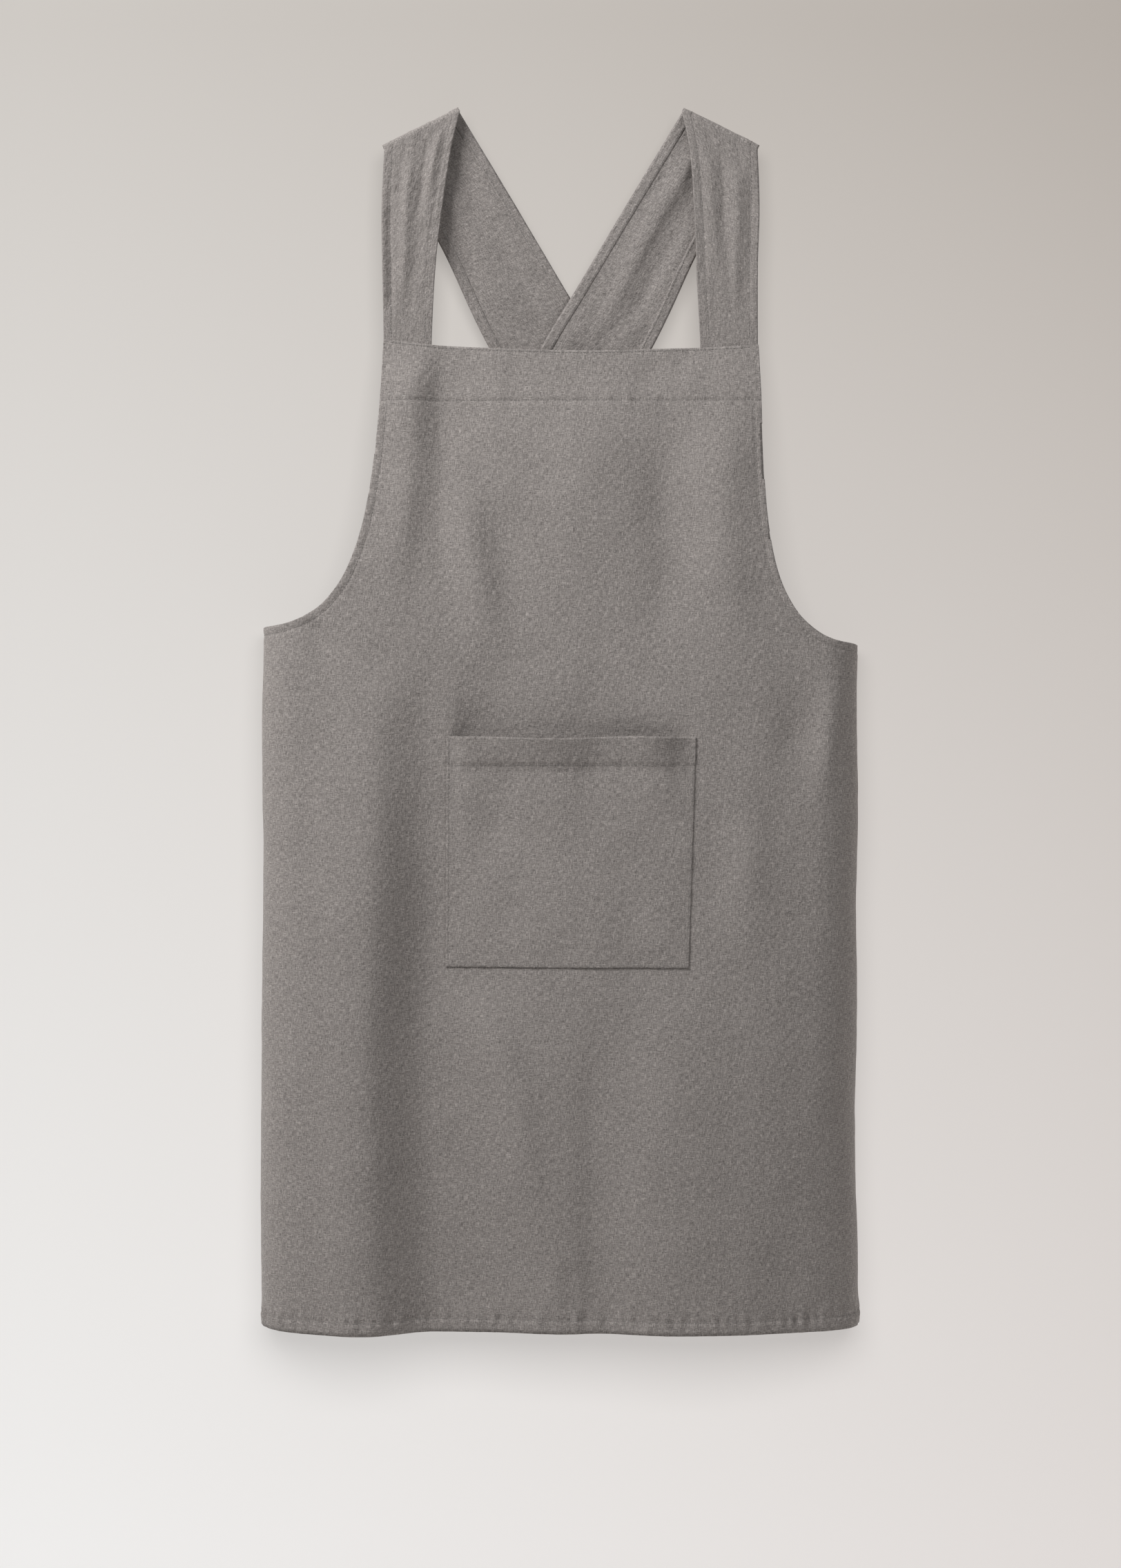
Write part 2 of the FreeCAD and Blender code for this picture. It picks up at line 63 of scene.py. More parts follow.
def principled(name, colour, roughness):
    """A material whose shader already has its plain values; returns its nodes, links and shader."""
    material = bpy.data.materials.new(name)
    material.use_nodes = True
    shader = material.node_tree.nodes["Principled BSDF"]
    shader.inputs["Base Color"].default_value = (*colour, 1)
    shader.inputs["Roughness"].default_value = roughness
    return material, material.node_tree, shader


def link(tree, pairs):
    """Joins sockets: each pair is an output socket and an input socket."""
    for output, socket in pairs:
        tree.links.new(output, socket)


def add_node(tree, kind, settings=(), **inputs):
    """A shader node with its settings and its input values."""
    node = tree.nodes.new("ShaderNode" + kind)
    for name, value in dict(settings).items():
        setattr(node, name, value)
    for name, value in inputs.items():
        node.inputs[name.replace("_", " ")].default_value = value
    return node


def powder_coat():
    material, tree, shader = principled("black_powder_coat", (0.028, 0.028, 0.03), 0.48)
    place = add_node(tree, "TexCoord")
    grain = add_node(tree, "TexNoise", Scale=1400.0, Detail=3.0)
    patches = add_node(tree, "TexNoise", Scale=60.0, Detail=2.0)
    bump = add_node(tree, "Bump", Strength=0.25, Distance=0.0002)
    wear = add_node(tree, "MapRange", To_Min=0.40, To_Max=0.58)
    link(tree, [(place.outputs["Object"], grain.inputs["Vector"]),
                (place.outputs["Object"], patches.inputs["Vector"]),
                (grain.outputs["Fac"], bump.inputs["Height"]),
                (bump.outputs["Normal"], shader.inputs["Normal"]),
                (patches.outputs["Fac"], wear.inputs["Value"]),
                (wear.outputs["Result"], shader.inputs["Roughness"])])
    return material


coat = powder_coat()
for side_name in ("left", "right"):
    for part_name in ("plate", "rod"):
        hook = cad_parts[f"{side_name}_hook_{part_name}"]
        hook.data.materials.clear()
        hook.data.materials.append(coat)

# ---- the hanging cloth ------------------------------------------------------------------------
# Washed linen, about 0.9 mm thick where it is single. The front hangs as one wide, shallow box:
# flat in front, rounded at both sides, folded back to the wall. Soft folds run down it.

PLY = 0.0009
PANEL_LOW, PANEL_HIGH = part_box("front_panel")
BOTTOM = PANEL_LOW.z
SIDE = {-1: PANEL_LOW.x, 1: PANEL_HIGH.x}
BIB_TOP = PANEL_HIGH.z
BACK_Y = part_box("left_back_panel")[1].y
SIDE_Y = -0.026                   # where the rounded front corners end
FOLD_RADIUS = 0.010               # fold from the side to the back
SEAM_INSET = 0.035                # from the side fold to the seam, along the back
BIB_Y = -0.0318
BOTTOM_Y = PANEL_LOW.y
SETTLE = 0.4                      # height over which the front comes forward from the bib's top


def front_y(z):
    """Depth of the flat front at a height: it leans out from the bib and flattens lower down."""
    drop = BIB_TOP - z
    full = 1 - math.exp(-(BIB_TOP - BOTTOM) / SETTLE)
    return BIB_Y + (BOTTOM_Y - BIB_Y) * (1 - np.exp(-drop / SETTLE)) / full


SLOPE_RUN = 0.060                 # the front slopes back over this much before each corner
SLOPE_SHARE = 0.15                # and takes up this share of the way to the corner's end


def corner(side, z):
    """Where the front starts to turn back, how far it has sloped back by then, and the corner's radius."""
    reach = np.maximum(SIDE_Y - front_y(z), 0.002)
    radius = reach * (1 - SLOPE_SHARE)
    return abs(SIDE[side]) - radius, reach * SLOPE_SHARE, radius


STRAIGHT = BACK_Y - FOLD_RADIUS - SIDE_Y       # from the corner's end to the fold to the back


def wrap_end(side, z):
    """Distance along the cloth from the middle to the side seam."""
    flat, _, radius = corner(side, z)
    return flat + (radius + FOLD_RADIUS) * math.pi / 2 + STRAIGHT + SEAM_INSET - FOLD_RADIUS


def wrap(s, z):
    """Place and outward normal of the smooth panel; s is the distance along the cloth from its middle."""
    side = np.where(s < 0, -1.0, 1.0)
    flat = np.where(s < 0, corner(-1, z)[0], corner(1, z)[0])
    _, sloped, radius = corner(1, z)
    a = np.abs(s)
    ramp = sloped * step(a, flat - SLOPE_RUN, flat + 0.35 * SLOPE_RUN)
    turn = np.clip((a - flat) / radius, 0, math.pi / 2)
    done = flat + radius * math.pi / 2
    straight = np.clip(a - done, 0, STRAIGHT)
    fold = np.clip((a - done - STRAIGHT) / FOLD_RADIUS, 0, math.pi / 2)
    back = np.clip(a - done - STRAIGHT - FOLD_RADIUS * math.pi / 2, 0, None)
    x = np.minimum(a, flat) + radius * np.sin(turn) - FOLD_RADIUS * (1 - np.cos(fold)) - back
    y = front_y(z) + ramp + radius * (1 - np.cos(turn)) + straight + FOLD_RADIUS * np.sin(fold)
    heading = turn + fold
    normal = np.stack([side * np.sin(heading), -np.cos(heading), 0 * z], 1)
    return np.stack([side * x, y, z], 1), normal


def ripple(points, scale, seed):
    """Smooth noise from -1 to 1 at each point; scale is the size of its waves in metres."""
    shift = Vector((seed * 7.31, seed * 3.17, seed * 5.73))
    inverse = [1 / value for value in scale]
    return np.array([noise.noise(Vector((s * inverse[0], z * inverse[1], 0)) + shift) for s, z in points])


def step(value, low, high):
    """Smooth step from 0 at low to 1 at high, or back down if high is the smaller."""
    t = np.clip((value - low) / (high - low), 0, 1)
    return t * t * (3 - 2 * t)


def bell(value, middle, width):
    """A smooth bump of height 1 around the middle."""
    return np.exp(-((value - middle) / width) ** 2)


def crest(s, z, line, height, left, right, top_fade, low_fade=0.0):
    """A long fold: line is its (s, z) points from the top down, left and right its two widths."""
    heights = [-point[1] for point in line]
    centre = np.interp(-z, heights, [point[0] for point in line])
    away = s - centre
    width = np.where(away < 0, left, right)
    top, low = line[0][1], line[-1][1]
    along = step(z, top, top - top_fade)
    if low_fade:
        along = along * step(z, low, low + low_fade)
    return height * along * bell(away, 0, width)


# Each fold: its line from the top down, its height (negative for a valley), the width of its left
# and right flank, and how far it takes to fade in at the top and out at the bottom.
FOLDS = [
    ([(-0.152, -0.32), (-0.178, -0.42), (-0.184, -0.70), (-0.178, -1.00)], 0.0100, 0.060, 0.028, 0.32),
    ([(-0.108, -0.30), (-0.124, -0.44), (-0.124, -0.70), (-0.118, -1.00)], -0.0175, 0.038, 0.090, 0.38),
    ([(-0.114, -0.08), (-0.116, -0.24), (-0.112, -0.40)], -0.0050, 0.012, 0.032, 0.015, 0.24),
    ([(-0.140, -0.10), (-0.148, -0.24), (-0.164, -0.38)], 0.0062, 0.024, 0.014, 0.04, 0.14),
    ([(-0.112, -0.17), (-0.092, -0.28), (-0.060, -0.42)], 0.0060, 0.022, 0.017, 0.14, 0.12),
    ([(-0.084, -0.17), (-0.060, -0.28), (-0.034, -0.38)], -0.0048, 0.018, 0.040, 0.14, 0.12),
    ([(0.015, -0.12), (0.022, -0.36)], 0.0066, 0.060, 0.044, 0.08, 0.16),
    ([(0.088, -0.13), (0.082, -0.42)], -0.0064, 0.022, 0.028, 0.14, 0.16),
    ([(0.136, -0.10), (0.142, -0.48)], 0.0078, 0.028, 0.028, 0.12, 0.22),
    ([(0.205, -0.40), (0.196, -0.50)], -0.0040, 0.018, 0.026, 0.06, 0.05),
    ([(0.238, -0.39), (0.222, -0.53)], 0.0045, 0.012, 0.010, 0.04, 0.07),
    ([(-0.088, -0.66), (-0.048, -0.78), (-0.030, -0.92)], 0.0072, 0.024, 0.022, 0.08, 0.12),
    ([(0.028, -0.66), (0.022, -0.82), (0.026, -1.00)], -0.0060, 0.020, 0.032, 0.14),
    ([(0.100, -0.64), (0.096, -1.00)], 0.0046, 0.040, 0.060, 0.16),
    ([(0.150, -0.46), (0.156, -0.70)], 0.0045, 0.020, 0.018, 0.12, 0.14),
    ([(0.240, -0.55), (0.234, -1.00)], -0.0070, 0.055, 0.026, 0.40),
    ([(-0.003, -0.915), (0.002, -0.975)], -0.0022, 0.006, 0.008, 0.02, 0.02),
    ([(-0.056, -0.104), (-0.052, -0.165)], -0.0018, 0.008, 0.011, 0.02, 0.03),
    ([(0.064, -0.108), (0.070, -0.160)], -0.0019, 0.012, 0.016, 0.02, 0.03),
    ([(0.112, -0.106), (0.104, -0.156)], 0.0016, 0.008, 0.010, 0.02, 0.03),
    ([(-0.250, -0.352), (-0.232, -0.400)], 0.0030, 0.009, 0.007, 0.012, 0.04),
    ([(-0.236, -0.348), (-0.212, -0.420)], -0.0026, 0.010, 0.010, 0.012, 0.05),
]


def drape(s, z):
    """How far the hanging panel stands out from its smooth shape."""
    points = np.stack([s, z], 1)
    wander = ripple(points, (0.16, 0.13), 2) * 0.007
    total = np.zeros_like(s)
    for fold_values in FOLDS:
        total += crest(s + wander, z, *fold_values)
    total += 0.0020 * ripple(points, (0.060, 0.170), 3) + 0.0009 * ripple(points, (0.036, 0.050), 4)
    top = step(z, BIB_TOP - 0.002, BIB_TOP - 0.050)
    return total * (0.45 + 0.55 * top) - mouth_dip(s, z)


POCKET_LOW, POCKET_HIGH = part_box("pocket_panel")


def mouth_dip(s, z):
    """How far the panel draws back behind the pocket's mouth: furthest near its left end."""
    across = step(s, -0.112, -0.092) * step(s, 0.116, 0.086)
    depth = 0.0025 + 0.0050 * bell(s, -0.082, 0.026) + 0.0015 * bell(s, 0.06, 0.03)
    above = np.where(z > POCKET_HIGH.z, 0.016 + 0.016 * step(s, 0.0, -0.08), 0.050)
    return depth * across * bell(z, POCKET_HIGH.z - 0.004, above)


def crinkle(s, z, seed=0):
    """The small creases of washed linen, a few tenths of a millimetre deep."""
    points = np.stack([s, z], 1)
    bend = ripple(points, (0.03, 0.03), 11 + seed) * 0.006
    bent = points + np.stack([bend, -bend], 1)
    broad = ripple(bent, (0.016, 0.022), 12 + seed)
    fine = ripple(bent, (0.0075, 0.0090), 13 + seed)
    return 0.00022 * broad + 0.00018 * fine


def pucker(along, away, reach, seed):
    """Ripples that a row of stitches draws up beside it; away is the distance from the row."""
    points = np.stack([along, 0 * along], 1)
    wave = ripple(points, (0.0065, 1), 21 + seed) + 0.6 * ripple(points, (0.018, 1), 22 + seed)
    return 0.00075 * wave * bell(away, 0, reach)


def add_object(name, data):
    """A new object in the scene that holds a mesh, light or camera."""
    piece = bpy.data.objects.new(name, data)
    bpy.context.scene.collection.objects.link(piece)
    return piece


def cloth_object(name, bm, uv, thickness=PLY, offset=-1.0):
    """Object from a bmesh whose vertices are in place; uv holds each vertex's place on the flat cloth."""
    layer_uv = bm.loops.layers.uv.new("cloth")
    bm.verts.index_update()
    for face in bm.faces:
        face.smooth = True
        for loop in face.loops:
            loop[layer_uv].uv = uv[loop.vert.index]
    mesh = bpy.data.meshes.new(name)
    bm.to_mesh(mesh)
    bm.free()
    piece = add_object(name, mesh)
    solid = piece.modifiers.new("thickness", "SOLIDIFY")
    solid.thickness = thickness
    solid.offset = offset
    return piece


def grid(columns, rows):
    """A flat grid in a bmesh over the unit square, with its vertices' places as an array."""
    bm = bmesh.new()
    bmesh.ops.create_grid(bm, x_segments=columns, y_segments=rows, size=0.5)
    bmesh.ops.translate(bm, verts=bm.verts, vec=(0.5, 0.5, 0))
    return bm, np.array([vertex.co[:2] for vertex in bm.verts])


def place(bm, positions):
    """Moves the vertices of a bmesh to the rows of an array."""
    for vertex, position in zip(bm.verts, positions):
        vertex.co = position


# Linen: two sets of uneven threads with pale slubs along them, a fine speckle between, and the
# pebbly surface of cloth that was washed. The pattern follows the flat cloth through its UV map.


def linen(name, colour):
    material, tree, shader = principled(name, colour, 0.86)
    shader.inputs["Sheen Weight"].default_value = 0.12
    shader.inputs["Sheen Roughness"].default_value = 0.5
    shader.inputs["Specular IOR Level"].default_value = 0.25
    uv = add_node(tree, "UVMap", {"uv_map": "cloth"}).outputs["UV"]

    def streaks(across_x, across_y, detail=3.0):
        """Noise with so many waves to the metre each way; fewer one way draws it out into streaks."""
        mapping = add_node(tree, "Mapping", Scale=(across_x, across_y, 1))
        pattern = add_node(tree, "TexNoise", Scale=1.0, Detail=detail, Roughness=0.6)
        link(tree, [(uv, mapping.inputs["Vector"]), (mapping.outputs["Vector"], pattern.inputs["Vector"])])
        return pattern.outputs["Fac"]

    def ribs(direction):
        """Soft, low ribs side by side, 3.5 mm apart, bent a little by noise."""
        pattern = add_node(tree, "TexWave", {"bands_direction": direction}, Scale=90.0, Distortion=1.2,
                           Detail=2.0, Detail_Scale=2.0)
        link(tree, [(uv, pattern.inputs["Vector"])])
        return pattern.outputs["Fac"]

    def combine(operation, a, b):
        """Sum or product of two values, each a number or an output socket."""
        node = add_node(tree, "Math", {"operation": operation})
        for socket, value in zip(node.inputs, (a, b)):
            if isinstance(value, float):
                socket.default_value = value
            else:
                tree.links.new(value, socket)
        return node.outputs["Value"]

    down = streaks(1350, 210)
    across = streaks(210, 1350)
    speckle = streaks(950, 950, detail=2.0)
    patches = streaks(30, 30)
    pebbles = streaks(190, 120)
    both_ways = combine("ADD", down, across)
    tone = combine("ADD", combine("MULTIPLY", both_ways, 1.15), combine("MULTIPLY", speckle, 0.80))
    tone = combine("ADD", tone, combine("MULTIPLY", patches, 0.16))
    for threads_seen in (down, across):        # slubs: a few pale, thicker threads
        slub = add_node(tree, "MapRange", From_Min=0.60, From_Max=0.70, To_Max=0.45)
        tree.links.new(threads_seen, slub.inputs["Value"])
        tone = combine("ADD", tone, slub.outputs["Result"])
    tone = combine("MULTIPLY", tone, 0.45)     # into the ramp's range, which ends at 1
    shade = add_node(tree, "ValToRGB")
    for stop, position, strength in zip(shade.color_ramp.elements, (0.54, 0.93), (0.70, 2.45)):
        stop.position = position
        stop.color = (*[value * strength for value in colour], 1)
    weave = combine("ADD", combine("MULTIPLY", ribs("X"), 0.5), combine("MULTIPLY", ribs("Y"), 0.5))
    relief = combine("ADD", combine("MULTIPLY", weave, 0.25), combine("MULTIPLY", both_ways, 0.25))
    fine = add_node(tree, "Bump", Strength=0.55, Distance=0.00035)
    broad = add_node(tree, "Bump", Strength=0.7, Distance=0.0018)
    link(tree, [(tone, shade.inputs["Fac"]), (shade.outputs["Color"], shader.inputs["Base Color"]),
                (pebbles, broad.inputs["Height"]), (relief, fine.inputs["Height"]),
                (broad.outputs["Normal"], fine.inputs["Normal"]),
                (fine.outputs["Normal"], shader.inputs["Normal"])])
    return material


LINEN_COLOUR = (0.221, 0.201, 0.190)
cloth_grey = linen("washed_grey_linen", LINEN_COLOUR)


def dress(piece, body, slot, *nodes, material=cloth_grey):
    """Gives a piece its cloth and its body, and hides the CAD nodes that it stands for."""
    piece.data.materials.append(material)
    if nodes:
        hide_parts(*nodes)
    if body:
        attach(piece, body)
    return piece


# ---- front panel ------------------------------------------------------------------------------
# Bib, skirt front and both rounded sides, cut in one from a single width of linen. The scooped
# armholes run from the bib's corners out to the side folds and on round the back to the seams.

CELL = 0.0039                     # mesh cell; a finer one takes the panel over 200,000 triangles
BIB_HALF = 0.1695                 # half the bib's width at its top
TOP_EDGE = [(-BIB_HALF, -0.0950), (-0.110, -0.1010), (0.0, -0.1050), (0.110, -0.1030), (BIB_HALF, -0.1000)]
ARMHOLE = {
    -1: [(-BIB_HALF, -0.0950), (-0.1714, -0.138), (-0.1745, -0.180), (-0.180, -0.2265), (-0.1880, -0.268),
         (-0.1997, -0.3017), (-0.2120, -0.323), (-0.2290, -0.3405), (-0.2560, -0.3530), (-0.290, -0.3560)],
    1: [(BIB_HALF, -0.1000), (0.1711, -0.138), (0.1722, -0.185), (0.1737, -0.2265), (0.1770, -0.265),
        (0.1837, -0.3017), (0.1940, -0.3290), (0.2095, -0.3510), (0.2340, -0.3670), (0.270, -0.3720)],
}
BOTTOM_HEM = 0.0135               # depths of the hems
ARMHOLE_HEM = 0.0085
EDGE_STITCH = 0.0020              # from a hem's edge to its row of stitches
SEAM_REACH = 0.005                # the mesh is finer this near to a row of stitches
BAND_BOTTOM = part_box("bib_facing")[0].z
HEM_ROW = BOTTOM + BOTTOM_HEM - EDGE_STITCH
BAND_ROW = BAND_BOTTOM + EDGE_STITCH


def smooth_line(points, count):
    """A smooth curve through points, as evenly spaced places along it."""
    given = np.array(points)
    ends = np.vstack([2 * given[0] - given[1], given, 2 * given[-1] - given[-2]])
    pieces = []
    for i in range(1, len(ends) - 2):
        t = np.linspace(0, 1, 24, endpoint=False)[:, None]
        p0, p1, p2, p3 = ends[i - 1:i + 3]
        pieces.append(0.5 * (2 * p1 + (p2 - p0) * t + (2 * p0 - 5 * p1 + 4 * p2 - p3) * t ** 2
                             + (3 * p1 - p0 - 3 * p2 + p3) * t ** 3))
    return evenly(np.vstack(pieces + [given[-1:]]), count)


def evenly(line, count):
    """The same line with its points evenly spaced."""
    length = np.concatenate([[0], np.cumsum(np.linalg.norm(np.diff(line, axis=0), axis=1))])
    spots = np.linspace(0, length[-1], count)
    return np.stack([np.interp(spots, length, line[:, i]) for i in range(line.shape[1])], 1)


def straight(start, end, count):
    return evenly(np.array([start, end], float), count)


def top_outline():
    """The panel's whole upper edge from the left seam to the right one, as (s, z) points."""
    left = smooth_line(ARMHOLE[-1][::-1], 160)
    right = smooth_line(ARMHOLE[1], 160)
    start = (-float(wrap_end(-1, left[0, 1])), left[0, 1])
    end = (float(wrap_end(1, right[-1, 1])), right[-1, 1])
    return np.vstack([[start], left, smooth_line(TOP_EDGE, 90)[1:-1], right, [end]])


OUTLINE = top_outline()


def outline_height(s):
    return np.interp(s, OUTLINE[:, 0], OUTLINE[:, 1])


def edge_distance(s, z):
    """Distance of each point from the armholes and the bib's top edge, as far as it is small."""
    near = np.full(len(s), 1.0)
    for i in np.flatnonzero(z > BOTTOM + 0.55):
        near[i] = np.min(np.hypot(OUTLINE[:, 0] - s[i], OUTLINE[:, 1] - z[i]))
    return near


def stitched(away, along, reach, seed):
    """Relief of a turned edge: proud by a ply, dipped at its row of stitches and puckered by it.

    away is the distance inwards from the row. The ply's height also keeps the bib's band clear of
    the hooks' rods when the apron is lifted.
    """
    dip = -0.00050 * bell(away, 0, 0.0016)
    ply = 0.00045 * step(away, 0.0012, -0.0018)
    return dip + ply + pucker(along, away, reach, seed)


def turned_edges(s, z):
    """Relief over the bottom hem, the bib's band and the armhole hems."""
    relief = stitched(z - HEM_ROW, s, 0.014, 0) + 3.2 * pucker(s, z - HEM_ROW, 0.010, 1)
    band = BAND_ROW - z
    bib = (np.abs(s) < 0.175) * step(band, 0.10, 0.05)
    relief += bib * stitched(band, s, 0.009, 3)
    away = edge_distance(s, z)
    arm = step(z, BAND_ROW + 0.004, BAND_ROW - 0.004) * (away < 0.06)
    relief += arm * stitched(away - ARMHOLE_HEM + EDGE_STITCH, z + 0.6 * s, 0.008, 5)
    top = (np.abs(s) < BIB_HALF) * (z > BAND_ROW)
    relief += top * 0.4 * stitched(away - EDGE_STITCH, s, 0.006, 8)
    return relief


def side_waves(s, z):
    """The rounded sides are slack: they wave in and out a little on the way down."""
    return 0.0030 * ripple(np.stack([s * 0.4, z], 1), (0.09, 0.12), 6)


def front_surface(s, z, proud=0.0):
    """Places and outward directions on the panel's outer face; proud lifts them off it."""
    base, normal = wrap(s, z)
    sides = step(np.abs(s), 0.20, 0.27)
    out = drape(s, z) * (1 - 0.55 * sides) + side_waves(s, z) * sides
    out += crinkle(s, z) + turned_edges(s, z)
    return base + normal * (out + proud)[:, None], normal


def front_panel():
    """A regular grid over the cloth, trimmed to the outline, with its rim moved onto the outline."""
    columns = round(float(wrap_end(-1, BOTTOM) + wrap_end(1, BOTTOM)) / CELL)
    bm, unit = grid(columns, round((BIB_TOP - BOTTOM) / CELL))
    z = BOTTOM + unit[:, 1] * (BIB_TOP - BOTTOM)
    end = np.where(unit[:, 0] < 0.5, -wrap_end(-1, z), wrap_end(1, z))
    place(bm, np.stack([end * np.abs(unit[:, 0] - 0.5) * 2, z, 0 * z], 1))
    middles = [(face, face.calc_center_median()) for face in bm.faces]
    trimmed = [face for face, middle in middles if middle.y > outline_height(middle.x)]
    bmesh.ops.delete(bm, geom=trimmed, context="FACES")
    rim = evenly(OUTLINE, 4000)
    for vertex in bm.verts:
        if vertex.is_boundary and vertex.co.y > outline_height(vertex.co.x) - 2.5 * CELL:
            nearest = np.argmin(np.hypot(rim[:, 0] - vertex.co.x, rim[:, 1] - vertex.co.y))
            vertex.co = (*rim[nearest], 0)
    area = sum(face.calc_area() for face in bm.faces)
    centres = np.array([face.calc_center_median()[:2] for face in bm.faces])
    height, rim_away = centres[:, 1], edge_distance(*centres.T)
    seam = (np.abs(rim_away - ARMHOLE_HEM + EDGE_STITCH) < SEAM_REACH) & (height < BAND_ROW)
    seam |= (np.abs(height - HEM_ROW) < SEAM_REACH) | (np.abs(height - BAND_ROW) < SEAM_REACH)
    seam |= rim_away < SEAM_REACH
    finer = {edge for face, near in zip(bm.faces, seam) if near for edge in face.edges}
    bmesh.ops.subdivide_edges(bm, edges=list(finer), cuts=2, use_grid_fill=True)
    flat = np.array([vertex.co[:2] for vertex in bm.verts])
    place(bm, front_surface(flat[:, 0], flat[:, 1])[0])
    return cloth_object("front_panel_cloth", bm, flat), area


panel, panel_area = front_panel()
dress(panel, "apron", "linen", "front_panel")

# ---- turned edges of the front ----------------------------------------------------------------
# A deep band behind the top of the bib, let over the strap ends, narrow hems along the armholes
# and a hem at the bottom. All are turned to the inside and show in front only by their stitches.

INSIDE = -PLY - 0.00012           # middle of a turned ply that lies behind another
TURNED = 0.0003                   # thickness of a turned ply, pressed flat
RIM_GAP = 0.0004                  # the front's hems start this far inside the panel's edge
BAND_GAP = 0.0006                 # and the bib's band this far


def strip(name, surface, near, far, columns):
    """A strip of cloth on a surface, between two lines with the same number of points."""
    bm, unit = grid(len(near) - 1, columns)
    across, along = unit[:, 1], unit[:, 0] * (len(near) - 1)
    spots = np.arange(len(near))
    flat = np.stack([np.interp(along, spots, near[:, i]) * (1 - across)
                     + np.interp(along, spots, far[:, i]) * across for i in (0, 1)], 1)
    place(bm, surface(flat[:, 0], flat[:, 1], INSIDE)[0])
    return cloth_object(name, bm, flat, TURNED, 0.0)


def inset(line, distance):
    """The line moved to its right-hand side, as seen when going along it."""
    run = np.gradient(line, axis=0)
    run /= np.linalg.norm(run, axis=1)[:, None]
    return line + np.stack([run[:, 1], -run[:, 0]], 1) * distance


def edge_at(side, z):
    """Where the panel's armhole edge lies at a height."""
    edge = OUTLINE[OUTLINE[:, 0] * side > 0.12]
    edge = edge[np.argsort(edge[:, 1])]
    return np.interp(z, edge[:, 1], edge[:, 0])


def behind_bib(s, z):
    """Depth of the bib's band behind the outer face: it swells over the strap ends."""
    a = np.abs(s)
    swell = step(a, 0.106, 0.116) * step(z, BIB_TOP - 0.034, BIB_TOP - 0.022)
    return INSIDE - 0.0027 * swell


def bib_band():
    """Fills the bib's top between both armhole edges, a little inside the outline."""
    bm, unit = grid(100, 19)
    z = BAND_BOTTOM + (BIB_TOP - BAND_GAP - BAND_BOTTOM) * unit[:, 1]
    s = edge_at(-1, z) * (1 - unit[:, 0]) + edge_at(1, z) * unit[:, 0]
    z = BAND_BOTTOM + (outline_height(s) - BAND_GAP - BAND_BOTTOM) * unit[:, 1]
    place(bm, front_surface(s, z, behind_bib(s, z))[0])
    return cloth_object("bib_band_cloth", bm, np.stack([s, z], 1), TURNED, 0.0)


band = dress(bib_band(), "apron", "linen", "bib_facing")
low_line = straight((wrap_end(1, BOTTOM), BOTTOM + RIM_GAP), (-wrap_end(-1, BOTTOM), BOTTOM + RIM_GAP), 200)
front_hem = strip("front_bottom_hem_cloth", front_surface, low_line, inset(low_line, BOTTOM_HEM), 4)
dress(front_hem, "apron", "linen", "front_bottom_hem")
for side, side_name in ((-1, "left"), (1, "right")):
    arm = OUTLINE[(OUTLINE[:, 0] * side > 0.15) & (OUTLINE[:, 1] < BAND_BOTTOM)]
    arm = evenly(inset(evenly(arm, 150), RIM_GAP), 150)
    hem = strip(f"{side_name}_armhole_hem_cloth", front_surface, arm, inset(arm, ARMHOLE_HEM), 3)
    dress(hem, "apron", "linen", f"{side_name}_armhole_hem")

# ---- pocket -----------------------------------------------------------------------------------
# One patch pocket, sewn on along its sides and bottom. Its mouth has a deep turned band and
# stands off a little in two places.

POCKET_TOP, POCKET_BOTTOM = POCKET_HIGH.z, POCKET_LOW.z
POCKET_CORNERS = {-1: (-0.1110, -0.1120), 1: (0.1110, 0.1040)}    # s at the top and at the bottom
POCKET_BAND = 0.026
POCKET_ROW = POCKET_TOP - POCKET_BAND
POCKET_PLY = 0.7 * PLY            # pressed flatter than the panel


def pocket_sides(z):
    """Share of the way down the pocket at a height, and s at its left and its right edge there."""
    share = (POCKET_TOP - z) / (POCKET_TOP - POCKET_BOTTOM)
    left, right = (top + share * (low - top) for top, low in (POCKET_CORNERS[-1], POCKET_CORNERS[1]))
    return share, left, right


POCKET_FOLDS = [                  # given as the panel's
    ([(-0.100, -0.48), (-0.098, -0.58)], 0.0022, 0.010, 0.016, 0.03, 0.05),
    ([(-0.055, -0.47), (-0.068, -0.57)], -0.0014, 0.018, 0.016, 0.03, 0.04),
    ([(0.010, -0.60), (0.045, -0.585), (0.080, -0.60)], 0.0010, 0.020, 0.020, 0.01, 0.01),
]


def pocket_lift(s, z):
    """How far the pocket stands off the panel: at its mouth most, sewn down along three sides."""
    share, left, right = pocket_sides(z)
    rim = np.minimum(np.minimum(s - left, right - s), z - POCKET_BOTTOM)
    free = step(rim, 0.002, 0.026)
    mouth = 0.80 * np.clip(1 - share / 0.15, 0, 1) + 0.20 * step(share, 0.5, 0.0)
    bow = 0.0050 + 0.0068 * bell(s, -0.018, 0.040) + 0.0066 * bell(s, 0.074, 0.020)
    lift = 0.0008 + mouth_dip(s, z) * step(rim, 0.0, 0.012) + free * (0.0005 + bow * mouth)
    lift += free * 0.0016 * ripple(np.stack([s, z], 1), (0.030, 0.060), 31)
    for fold_values in POCKET_FOLDS:
        lift += crest(s, z, *fold_values) * free
    rows = stitched(rim - EDGE_STITCH, s + z, 0.007, 33) * 0.7
    top = stitched(POCKET_ROW - z, s, 0.008, 34)
    fresh = crinkle(s, z, 40) - crinkle(s, z)
    return lift + rows + top * step(z, POCKET_ROW - 0.05, POCKET_ROW - 0.03) + fresh * free


